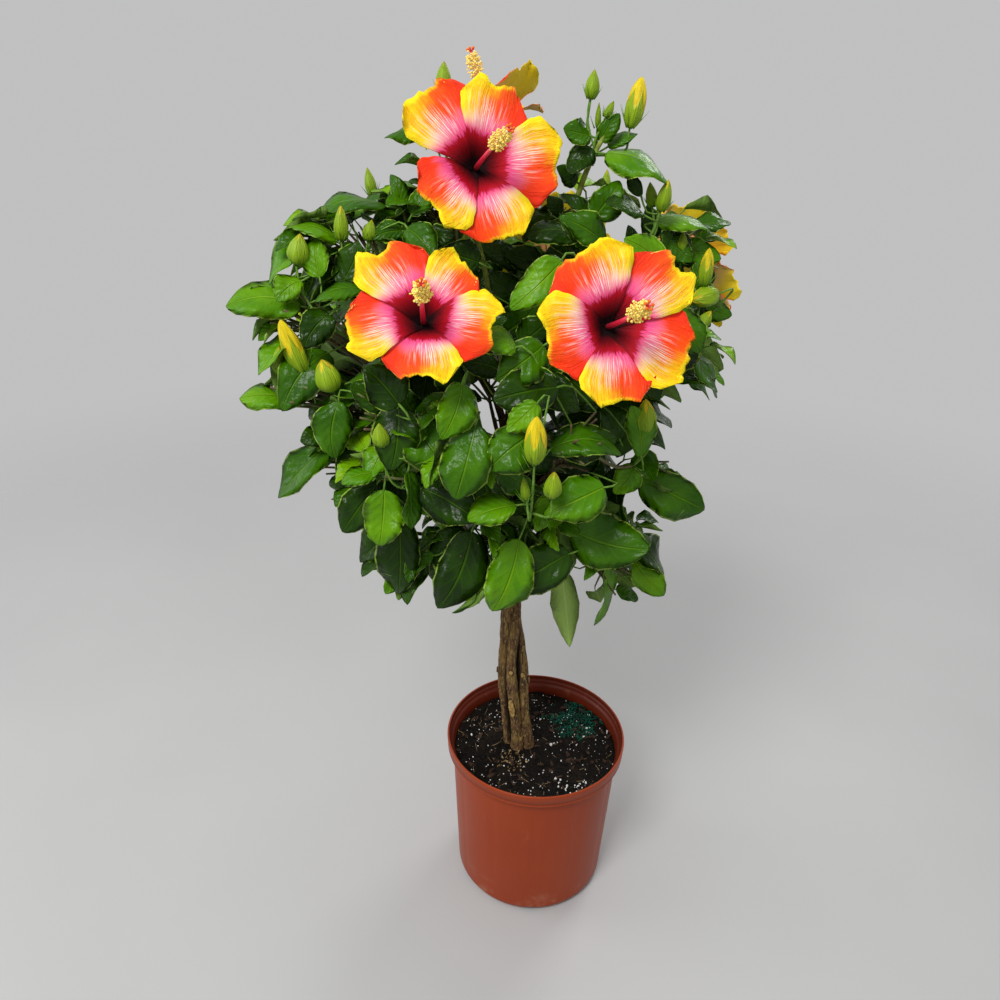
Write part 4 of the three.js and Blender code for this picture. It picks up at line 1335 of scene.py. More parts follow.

# Leaves that draw the crown's outline and its front have set places, all in millimetres: where the
# blade starts and ends, its width, its finish, which shows its age and paints the light or shade on
# it, and the way that its upper side faces.
LEVEL = Vector((0, -0.42, 0.9))
LEFTWARD = Vector((-0.8, -0.5, 0.3))
RIGHTWARD = Vector((0.8, -0.5, 0.3))
AWAY = -FRONT
SET_WIDENED = 1.06
SET_LEAVES = [
    # The left side, from the lowest of the high leaves outwards and down.
    ((-185, -35, 960), (-255, -45, 955), 46, FULL, LEVEL),
    ((-230, -70, 930), (-276, -80, 944), 34, BRIGHT, LEVEL),
    ((-245, -95, 898), (-250, -80, 936), 29, BRIGHT, FRONT),
    ((-262, -100, 896), (-284, -115, 878), 27, BRIGHT, FRONT),
    ((-265, -95, 870), (-338, -100, 864), 50, BRIGHT, LEVEL),
    ((-232, -115, 868), (-257, -130, 838), 34, OLD_AND_SHADED, FRONT),
    ((-200, -110, 892), (-245, -125, 884), 34, FULL, LEVEL),
    ((-225, -95, 892), (-205, -85, 932), 32, OLD_AND_SHADED, FRONT),
    ((-275, -105, 772), (-332, -115, 779), 42, BRIGHT, LEVEL),
    ((-243, -120, 728), (-296, -135, 674), 46, FULL, LEFTWARD),
    ((-243, -125, 742), (-268, -135, 740), 24, OLD_AND_SHADED, FRONT),
    ((-224, -140, 787), (-230, -155, 730), 38, FULL, FRONT),
    # The top, left to right.
    ((-170, -30, 957), (-181, -25, 990), 19, FULL, FRONT),
    ((-160, -35, 952), (-141, -30, 982), 24, FULL, FRONT),
    ((-160, -30, 950), (-134, -40, 960), 22, OLD_AND_SHADED, LEVEL),
    ((-152, -20, 1026), (-187, -25, 1024), 32, FULL, LEVEL),
    ((-165, -60, 940), (-196, -75, 934), 20, FULL, FRONT),
    ((-140, -70, 935), (-113, -80, 940), 22, OLD_AND_SHADED, FRONT),
    ((-160, -75, 945), (-133, -100, 923), 32, FULL, FRONT),
    ((-88, -60, 911), (-127, -80, 924), 36, OLD_AND_SHADED, FRONT),
    ((20, -10, 1030), (-10, -20, 1035), 27, FULL, FRONT),
    ((20, -10, 1020), (0, -25, 993), 27, OLD_AND_SHADED, FRONT),
    ((10, 0, 985), (-12, -15, 1000), 20, OLD_AND_SHADED, FRONT),
    ((30, -10, 1025), (46, -15, 1051), 20, FULL, FRONT),
    ((35, -15, 1014), (102, -25, 992), 50, BRIGHT, LEVEL),
    ((38, -5, 1020), (68, -5, 1032), 20, FULL, LEVEL),
    ((75, -20, 975), (60, -20, 1001), 13, OLD_AND_SHADED, FRONT),
    ((25, -40, 955), (50, -35, 991), 32, FULL, FRONT),
    ((76, -45, 960), (34, -60, 971), 36, OLD_AND_SHADED, LEVEL),
    ((100, 15, 945), (157, 5, 944), 36, BRIGHT, LEVEL),
    ((95, -60, 915), (54, -75, 941), 34, BRIGHT, FRONT),
    ((130, 25, 912), (176, 20, 909), 32, BRIGHT, FRONT),
    ((35, -60, 935), (-10, -75, 960), 32, FULL, FRONT),
    ((12, -50, 937), (-42, -60, 938), 36, OLD_AND_SHADED, LEVEL),
    # The front, from the left bloom's foot across to the right.
    ((-155, -205, 808), (-187, -200, 842), 40, OLD_AND_SHADED, FRONT),
    ((-98, -205, 831), (-116, -225, 783), 35, BRIGHT, FRONT),
    ((-160, -180, 797), (-166, -195, 738), 46, OLD_AND_SHADED, FRONT),
    ((-85, -215, 796), (-102, -235, 728), 47, FULL, FRONT),
    ((-50, -195, 862), (-92, -200, 869), 30, BRIGHT, LEVEL),
    ((-25, -180, 861), (-67, -200, 833), 40, FULL, FRONT),
    ((-10, -190, 825), (-71, -205, 815), 42, OLD_AND_SHADED, FRONT),
    ((-30, -222, 820), (-57, -226, 794), 25, BRIGHT, FRONT),
    ((-33, -220, 790), (-72, -235, 759), 45, FULL, FRONT),
    ((-10, -140, 930), (-57, -160, 888), 36, BRIGHT, FRONT),
    ((-15, -185, 760), (56, -180, 759), 42, FULL, LEVEL),
    ((-10, -170, 762), (52, -165, 766), 38, OLD_AND_SHADED, FRONT),
    ((85, -125, 730), (66, -130, 790), 30, BRIGHT, FRONT),
    ((80, -120, 820), (96, -130, 794), 22, OLD_AND_SHADED, FRONT),
    # The lower edge, left to right.
    ((-180, -185, 730), (-216, -195, 724), 28, BRIGHT, LEVEL),
    ((-175, -190, 715), (-180, -205, 658), 42, BRIGHT, FRONT),
    ((-185, -165, 710), (-222, -175, 658), 40, OLD_AND_SHADED, FRONT),
    ((-150, -200, 740), (-151, -210, 683), 34, FULL, RIGHTWARD),
    ((-170, -125, 650), (-172, -140, 558), 48, OLD_AND_SHADED, FRONT),
    ((-140, -185, 715), (-83, -205, 690), 46, OLD_AND_SHADED, FRONT),
    ((-90, -150, 650), (-126, -165, 558), 52, OLD_AND_SHADED, FRONT),
    ((-95, -120, 635), (-137, -130, 598), 38, OLD_AND_SHADED, FRONT),
    ((-40, -175, 656), (-66, -190, 573), 49, BRIGHT, FRONT),
    ((15, -160, 632), (-47, -180, 598), 52, OLD_AND_SHADED, FRONT),
    ((-45, -210, 712), (-92, -225, 704), 36, BRIGHT, LEVEL),
    ((40, -195, 727), (-18, -215, 704), 42, BRIGHT, FRONT),
    ((15, -150, 655), (97, -165, 643), 58, FULL, FRONT),
    ((95, -75, 682), (172, -85, 649), 50, FULL, FRONT),
    ((80, -115, 717), (60, -130, 688), 29, BRIGHT, FRONT),
    ((95, -80, 582), (136, -90, 538), 34, BRIGHT, FRONT),
    ((15, -85, 562), (29, -90, 464), 32, YOUNG, AWAY),
    ((65, -85, 577), (64, -90, 488), 34, BRIGHT, RIGHTWARD),
    # The right side.
    ((140, -60, 827), (171, -70, 778), 38, FULL, RIGHTWARD),
    ((170, 55, 850), (206, 50, 839), 24, FULL, FRONT),
    ((105, -80, 872), (141, -90, 833), 38, FULL, FRONT),
    # Behind them at the upper right.
    ((97, 20, 923), (82, 20, 954), 15, OLD_AND_SHADED, FRONT),
    ((102, 25, 928), (90, 25, 962), 19, OLD_AND_SHADED, FRONT),
    ((116, 10, 905), (107, 10, 940), 22, FULL, FRONT),
    ((115, 10, 928), (140, 0, 908), 26, FULL, FRONT),
    ((123, 15, 938), (139, 10, 906), 20, OLD_AND_SHADED, FRONT),
    ((147, 0, 878), (145, 0, 908), 15, FULL, FRONT),
    ((139, -10, 860), (165, -20, 843), 22, OLD_AND_SHADED, FRONT),
    ((25, -30, 956), (-8, -30, 977), 16, OLD_AND_SHADED, FRONT),
    ((38, -50, 932), (-10, -60, 958), 28, FULL, FRONT),
    ((22, -40, 929), (-32, -40, 942), 35, OLD_AND_SHADED, FRONT),
    ((16, -20, 920), (-23, -20, 911), 23, OLD_AND_SHADED, FRONT),
    ((-7, -20, 955), (-22, -20, 973), 16, OLD_AND_SHADED, FRONT),
    ((44, 40, 898), (14, 40, 932), 34, OLD_AND_SHADED, FRONT),
    ((91, 50, 897), (74, 50, 937), 21, OLD_AND_SHADED, FRONT),
    ((109, 40, 874), (88, 40, 912), 34, OLD_AND_SHADED, FRONT),
    ((155, 30, 903), (125, 30, 930), 29, OLD_AND_SHADED, FRONT),
    ((172, 30, 878), (143, 25, 903), 25, OLD_AND_SHADED, FRONT),
    ((107, 40, 950), (132, 40, 924), 27, OLD_AND_SHADED, LEVEL),
    # In the dark between the blooms and under them, with the darkest finish as painted shade.
    ((-93, 10, 895), (-133, 0, 916), 29, OLD_AND_SHADED, FRONT),
    ((-44, 10, 896), (-91, 10, 915), 29, OLD_AND_SHADED, FRONT),
    ((-15, 10, 888), (-66, 10, 908), 29, OLD_AND_SHADED, FRONT),
    ((-102, 20, 866), (-66, 20, 898), 36, OLD_AND_SHADED, FRONT),
    ((-43, 0, 857), (-79, 0, 891), 36, OLD_AND_SHADED, FRONT),
    ((-5, 20, 865), (-44, 10, 901), 34, OLD_AND_SHADED, FRONT),
    ((-64, -40, 833), (-25, -60, 873), 39, OLD_AND_SHADED, FRONT),
    ((-45, -90, 835), (-14, -100, 866), 33, OLD_AND_SHADED, FRONT),
    ((0, -20, 834), (-46, -30, 876), 40, OLD_AND_SHADED, FRONT),
    ((-98, -60, 825), (-61, -80, 860), 36, OLD_AND_SHADED, FRONT),
    ((-65, -110, 814), (-103, -120, 825), 26, OLD_AND_SHADED, FRONT),
    ((-4, -110, 814), (38, -120, 789), 37, OLD_AND_SHADED, FRONT),
    ((-20, -130, 817), (16, -140, 783), 34, OLD_AND_SHADED, FRONT),
    ((42, -90, 773), (-2, -90, 794), 36, OLD_AND_SHADED, FRONT),
    ((-59, -120, 791), (-13, -130, 780), 39, OLD_AND_SHADED, FRONT),
    ((-146, -120, 762), (-164, -130, 802), 31, OLD_AND_SHADED, FRONT),
    ((-175, -130, 786), (-210, -150, 807), 34, OLD_AND_SHADED, FRONT),
    ((-111, -100, 783), (-126, -110, 833), 31, OLD_AND_SHADED, FRONT),
    ((68, -80, 730), (42, -90, 773), 37, OLD_AND_SHADED, FRONT),
    ((6, -60, 683), (50, -60, 709), 41, OLD_AND_SHADED, FRONT),
    ((-41, -70, 723), (6, -70, 688), 40, OLD_AND_SHADED, FRONT),
]
for start, end, width, kind, way in SET_LEAVES:
    base, tip = Vector(start) * MM, Vector(end) * MM
    ahead_way = (tip - base).normalized()
    facing = away_from((way + scattered() * 0.16).normalized(), ahead_way).normalized()
    if way is LEVEL:
        bow, fold, wave = 0.15, draw.uniform(-0.25, 0.0), 0.10
    else:
        bow, fold, wave = draw.uniform(0.03, 0.09), draw.uniform(0.0, 0.30), 0.19
    length = (tip - base).length
    add_leaf(base, ahead_way, facing, length, width * MM * SET_WIDENED, kind, fold, 0.0, bow, wave)
    set_spots.append(((base + tip) / 2, length))
    behind = base - ahead_way * 14 * MM - Vector((0, 0, 3 * MM))
    add_stalk([base + ahead_way * 2 * MM, behind, nearest_twig(behind)], STALK)

# The foot of a shoot is bare, its leaves get smaller and younger outwards, and two unfold at its tip.
BARE = 0.35
for shoot, outward in shoots:
    tip = shoot[-1]
    way = (tip - shoot[-3]).normalized()
    side = away_from(Vector((draw.uniform(-1, 1), draw.uniform(-1, 1), 0.2)), way).normalized()
    leaf_length = draw.uniform(74, 98) * MM
    leaf_count = draw.choice((2, 3, 3))
    for i in range(leaf_count):
        share = BARE + (1 - BARE) * (i + 0.5) / leaf_count
        at = share * (SHOOT_POINTS - 1)
        joint = shoot[int(at)].lerp(shoot[min(int(at) + 1, SHOOT_POINTS - 1)], at % 1)
        side = Matrix.Rotation(GOLDEN_ANGLE, 3, way) @ side
        stalk_way = (side * 0.85 + way * 0.5 + outward * 0.15).normalized()
        length = leaf_length * (1.06 - 0.36 * share) * draw.uniform(0.88, 1.12)
        age = 1.05 - 0.60 * share + draw.uniform(-0.15, 0.1)
        grow_leaf(joint, stalk_way, outward, length, age)
    for i in range(2):
        side = Matrix.Rotation(GOLDEN_ANGLE, 3, way) @ side
        stalk_way = (side * 0.5 + way).normalized()
        length = leaf_length * draw.uniform(0.36, 0.58)
        grow_leaf(tip, stalk_way, outward, length, 0.15 + 0.25 * i)

# The shoots behind carry more leaves, and close the crown's back and sides.
for shoot, outward in shoots:
    if shoot[-1].y < -20 * MM:
        continue
    way = (shoot[-1] - shoot[-3]).normalized()
    side = away_from(outward, way).normalized()
    for i in range(3):
        side = Matrix.Rotation(GOLDEN_ANGLE, 3, way) @ side
        stalk_way = (side * 0.8 + way * 0.4 + outward * 0.3).normalized()
        grow_leaf(shoot[3 + 2 * i], stalk_way, outward, draw.uniform(56, 84) * MM, draw.uniform(0.3, 0.9))

# Old leaves sit along the limbs inside the crown, with the darkest finish that also paints the shade there,
# and shut out what is behind it.
for mass in MASSES:
    if mass in WITHOUT_A_LIMB:
        continue
    for i in range(9):
        joint = limb_paths[mass][int((LIMB_POINTS - 1) * (0.42 + 0.07 * i))]
        angle = i * GOLDEN_ANGLE + len(mass)
        stalk_way = Vector((math.cos(angle), math.sin(angle), draw.uniform(-0.2, 0.7))).normalized()
        grow_leaf(joint, stalk_way, stalk_way, draw.uniform(66, 88) * MM, 1.1, True)

# ---- Blooms ------------------------------------------------------------------------------------
# Single flowers of five broad, thin petals round a deep throat. Each petal overlaps the next with
# its yellow side and tucks its red side under, and is rose round a nearly black maroon eye.

PETAL_ACROSS, PETAL_ALONG = 16, 22
PETAL_THICKNESS = 0.45 * MM
THROAT = 27 * MM
PETAL, PETAL_BACK, COLUMN, STIGMA, POLLEN, CALYX = range(6)

petal_finish = Finish("petal")
petal_map = petal_finish.on_map()
petal_across, petal_along = petal_map
side_of_petal = (petal_across - 0.5) * 2
fine_rays = petal_finish.rays(petal_map, 72, 1.7, 0.0, 3, 0.6)
broad_rays = petal_finish.rays(petal_map, 13, 1.1, 3.0, 3, 0.6)
clouding = petal_finish.rays(petal_map, 3, 3, 8.0, 3, 0.5)
rim_of_petal = petal_along.between(0.93, 0.985).largest(abs(side_of_petal).between(0.93, 0.99))
veins_out = petal_finish.rays(petal_map, 120, 2.5, 5.0, 2, 0.6)
crinkle = petal_finish.rays(petal_map, 34, 9, 2.0, 3, 0.6)
hue = (side_of_petal * 0.43 + 0.34 + (clouding - 0.5) * 0.50 + (broad_rays - 0.5) * 0.40
       + (fine_rays - 0.5) * 0.22 + petal_along.between(0.60, 1.0) * 0.13 + rim_of_petal * 0.26)
sunset = petal_finish.ramp(hue, [
    (0.02, (0.86, 0.030, 0.004)), (0.22, (0.95, 0.050, 0.003)), (0.38, (0.97, 0.10, 0.003)),
    (0.50, (0.97, 0.23, 0.003)), (0.60, (0.95, 0.45, 0.003)), (0.74, (0.96, 0.68, 0.003)),
    (1.0, (0.97, 0.78, 0.005)),
])
crinkled_end = crinkle.between(0.58, 0.72) * petal_along.between(0.62, 0.95) * 0.35
sunset = petal_finish.mixed(crinkled_end, sunset, (0.86, 0.30, 0.003))
rose_reach = 0.62 + 0.34 * (broad_rays - 0.5) + 0.16 * (fine_rays - 0.5) - 0.12 * abs(side_of_petal - 0.1)
hot_rose = petal_finish.mixed(petal_along.between(0.40, 0.66), (0.84, 0.07, 0.23), (0.95, 0.20, 0.34))
pale_side = side_of_petal.between(-0.1, 0.65) * petal_along.between(0.34, 0.55) * 0.8
rose = petal_finish.mixed(pale_side, hot_rose, (0.98, 0.64, 0.50))
rose_share = (petal_along - rose_reach).between(0.09, -0.13)
rosy = petal_finish.mixed(rose_share, sunset, rose)
ray_share = (fine_rays.between(0.50, 0.60) * petal_along.between(0.36, 0.52) * petal_along.between(0.88, 0.60)
             * abs(side_of_petal - 0.22).between(0.80, 0.05))
rayed = petal_finish.mixed(ray_share, rosy, (1.0, 0.88, 0.80))
vein_share = veins_out.between(0.56, 0.70) * petal_along.between(0.95, 0.45) * 0.35
veined_petal = petal_finish.mixed(vein_share, rayed, (0.70, 0.04, 0.06))
eye_edge = petal_along - 0.24 * (fine_rays - 0.5) - 0.12 * (broad_rays - 0.5)
maroon = petal_finish.ramp(petal_along, [
    (0.0, (0.004, 0.0, 0.0005)), (0.11, (0.014, 0.0, 0.001)), (0.21, (0.17, 0.0, 0.004)),
    (0.32, (0.42, 0.0, 0.010)),
])
petal_colour = petal_finish.mixed(eye_edge.between(0.385, 0.350), veined_petal, maroon)
petal_grit = petal_finish.mottle(petal_finish.place(), 700, 2, 0.6)
petal_relief = (fine_rays * 0.6 + broad_rays + petal_grit * 0.2
                + crinkle * petal_along.between(0.5, 1.0) * 1.2)
petal_material = petal_finish.surface(
    Base_Color=petal_colour,
    Roughness=0.55 + 0.12 * fine_rays,
    Normal=petal_finish.raised(petal_relief, 0.8, 0.0022),
    Specular_IOR_Level=0.22,
)

back_finish = Finish("petal_back")
back_map = back_finish.on_map()
back_across, back_along = back_map
back_rays = back_finish.rays(back_map, 30, 1.5, 0.0, 3, 0.6)
back_hue = (back_across - 0.5) * 0.7 + back_along * 0.6 + 0.15 + (back_rays - 0.5) * 0.35
back_material = back_finish.surface(
    Base_Color=back_finish.ramp(back_hue, [
        (0.0, (0.84, 0.32, 0.13)), (0.3, (0.95, 0.56, 0.18)), (0.6, (0.96, 0.68, 0.03)),
        (1.0, (0.96, 0.72, 0.01)),
    ]),
    Roughness=0.6 + 0.1 * back_rays,
    Normal=back_finish.raised(back_rays, 0.5, 0.0014),
    Specular_IOR_Level=0.35,
)


def petal_shape(length, width, hand, bend, phase):
    """Both sides of a petal that runs along +X from the throat, facing +Z.

    hand is 1 where its left side as it is looked at, the yellow one, lies in front.
    """
    rows, columns = PETAL_ALONG, PETAL_ACROSS
    upper, places = [], []
    for i in range(rows + 1):
        t = i / rows
        swell = 0.13 + 0.87 * math.sin(math.pi / 2 * min(1, (t / 0.84) ** 1.15))
        drawn_in = 1 - 0.20 * max(0, (t - 0.74) / 0.26) ** 2.4
        for j in range(columns + 1):
            s = 2 * j / columns - 1
            notch = (0.011 * math.sin(17 * s + phase * 5) + 0.008 * math.sin(31 * s + phase * 3)
                     + 0.022 * math.sin(5 * s + phase * 2))
            corner = 0.080 + 0.035 * math.sin(3.7 * phase)
            shoulder = (corner * math.exp(-((s * hand - 0.70) / 0.27) ** 2)
                        + 0.045 * math.exp(-((s * hand + 0.55) / 0.25) ** 2) - 0.15 * abs(s) ** 4)
            x = length * t * (1 + shoulder * t * t + notch * t ** 6)
            y = width / 2 * s * swell * drawn_in * (1 + 0.02 * math.sin(31 * t + phase) * t)
            radius = math.hypot(x, y)
            funnel = -THROAT * math.exp(-(radius / (19.5 * MM)) ** 1.9)
            lap = (0.7 + 3.4 * t) * MM * s * hand
            ruffle = (4.6 * t ** 2.2 * abs(s) ** 1.5 * math.sin(4.6 * s + 6.5 * t + phase)
                      + 3.0 * t ** 4 * math.sin(8 * s + 2 * phase)
                      + 1.7 * t ** 5 * math.sin(19 * s + 3 * t + phase)
                      + 1.3 * abs(s) ** 3 * t * math.sin(24 * t + 3 * phase)
                      + 0.5 * t * math.sin(26 * s + phase)) * MM
            cup = bend * t ** 2.6 * (1 - 0.35 * s * s)
            y += 0.10 * hand * length * t * t * 0.5
            upper.append(Vector((x, y, funnel + lap + ruffle + cup)))
            places.append((0.5 + 0.5 * s * hand, t))
    lower = [point - Vector((0, 0, PETAL_THICKNESS)) for point in upper]
    half = len(upper)

    def index(i, j):
        return i * (columns + 1) + j

    faces, finish = [], []
    for i in range(rows):
        for j in range(columns):
            a, b, c, d = index(i, j), index(i + 1, j), index(i + 1, j + 1), index(i, j + 1)
            faces += [(a, b, c, d), (half + d, half + c, half + b, half + a)]
            finish += [PETAL, PETAL_BACK]
    # The edge runs along both sides, and then across the end and the foot.
    edges = [(index(i, 0), index(i + 1, 0), index(i, columns), index(i + 1, columns)) for i in range(rows)]
    edges += [(index(rows, j), index(rows, j + 1), index(0, j), index(0, j + 1)) for j in range(columns)]
    for a, b, c, d in edges:
        faces += [(half + a, half + b, b, a), (c, d, half + d, half + c)]
        finish += [PETAL, PETAL]
    return upper + lower, faces, finish, places + places


def bloom_axes(axis):
    """Directions to the right and up over a bloom, as it is looked at from in front."""
    to_the_right = Vector((0, 0, 1)).cross(axis)
    if abs(axis.z) > 0.8:
        to_the_right = Vector((1, 0, 0))
    to_the_right = away_from(to_the_right, axis).normalized()
    return to_the_right, axis.cross(to_the_right)


# The petals of each bloom, as (direction in degrees, length and width as shares of the full petal's,
# how far its end bends forward in millimetres). hand is -1 on the bloom whose lap runs the other way.
PETALS = {
    "top": (1, [(3, 1.00, 0.96, 3), (74, 0.96, 0.80, -2), (130, 1.06, 0.92, -4), (222, 0.78, 0.92, 2),
                (290, 0.94, 0.88, 6)]),
    "left": (1, [(-10, 0.88, 0.84, 2), (50, 0.80, 0.74, 4), (125, 0.98, 0.88, -4), (194, 0.92, 0.80, 0),
                 (272, 0.80, 0.88, 8)]),
    "right": (-1, [(-27, 1.00, 0.92, 2), (40, 1.04, 0.82, 4), (113, 0.94, 1.0, -2), (190, 0.88, 0.98, 0),
                   (268, 0.93, 0.90, 8)]),
    "top_rear": (1, [(-44, 0.92, 0.84, 34), (40, 0.95, 0.9, 4), (112, 0.95, 0.9, -12), (184, 0.90, 0.9, -30),
                     (250, 0.76, 0.9, -36)]),
}
EVEN_PETALS = [
    (18, 1.0, 0.9, 2), (90, 0.97, 0.92, -3), (162, 1.03, 0.9, 0), (234, 1.0, 0.88, 3),
    (306, 0.98, 0.92, 5),
]
# How far each column's end stands off the bloom's axis, to the right and up, in millimetres.
COLUMN_LEANS = {"top": (21, 17), "left": (2, 5), "right": (6, 8), "top_rear": (-6, 4)}
USUAL_LEAN = (4, 10)
PETAL_LENGTH = 76 * MM
PETAL_WIDTH = 86 * MM
COLUMN_LENGTH = 68 * MM
COLUMN_STEPS = 14
FILAMENTS = 130
BRACTS = 7
POLLEN_START, POLLEN_SPAN = 0.70, 0.29
CUP_RINGS = [(0, 2.6), (0.12, 6.2), (0.3, 8.2), (0.55, 8.8), (0.8, 8.2), (1, 6.0)]

column_finish = Finish("column")
column_along = column_finish.on_map()[1]
column_tone = column_finish.mottle(column_finish.place(), 320, 3)
column_material = column_finish.surface(
    Base_Color=column_finish.ramp(column_along + (column_tone - 0.5) * 0.12, [
        (0.0, (0.22, 0.002, 0.012)), (0.45, (0.66, 0.012, 0.045)), (0.66, (0.85, 0.10, 0.16)),
        (0.76, (0.92, 0.60, 0.30)), (1.0, (0.93, 0.78, 0.40)),
    ]),
    Roughness=0.5 + 0.1 * column_tone,
    Normal=column_finish.raised(column_tone, 0.4, 0.0005),
)
pollen_material = speckled("pollen", (0.90, 0.62, 0.04), (0.97, 0.85, 0.32), 700, 0.85)
stigma_material = speckled("stigma", (0.66, 0.09, 0.01), (0.85, 0.22, 0.02), 600, 0.8)
calyx_material = leaf_finish("calyx", (0.07, 0.20, 0.02), (0.15, 0.34, 0.03), (0.30, 0.48, 0.08), 0.42)
BLOOM_FINISHES = [
    petal_material, back_material, column_material, stigma_material, pollen_material, calyx_material,
]
stalk_finish = Finish("green_bark")
stalk_place = stalk_finish.place()
stalk_patches = stalk_finish.mottle(stalk_place, 70, 4, 0.6)
stalk_specks = stalk_finish.mottle(stalk_place, 800, 3, 0.6)
stalk_green_to_brown = stalk_patches.between(0.4, 0.62)
stalk_colour = stalk_finish.mixed(stalk_green_to_brown, (0.10, 0.13, 0.03), (0.115, 0.062, 0.032))
stalk_material = stalk_finish.surface(
    Base_Color=stalk_finish.mixed(stalk_specks.between(0.6, 0.75) * 0.5, stalk_colour, (0.25, 0.24, 0.11)),
    Roughness=0.55 + 0.2 * stalk_specks,
    Normal=stalk_finish.raised(stalk_specks, 0.6, 0.0008),
)
leaf_stalk_material = speckled("leaf_stalk", (0.075, 0.17, 0.02), (0.15, 0.28, 0.04), 240, 0.55)


def bracts(root, axis, length, count, spread, seed):
    """Thin green bracts that stand in a ring under a bud or a bloom."""
    side = axis.orthogonal().normalized()
    for i in range(count):
        out = Matrix.Rotation(2 * math.pi * (i + 0.3 * math.sin(seed + i)) / count, 3, axis) @ side
        tip_way = (axis * math.cos(spread) + out * math.sin(spread)).normalized()
        start = root + out * 3.5 * MM
        halfway = start + tip_way * length * 0.5 + axis * 1 * MM
        end = start + tip_way * length + axis * 3 * MM
        yield tube(smooth_path([start, halfway, end], 4), lambda share: 0.95 * MM * (1 - 0.9 * share), 4)


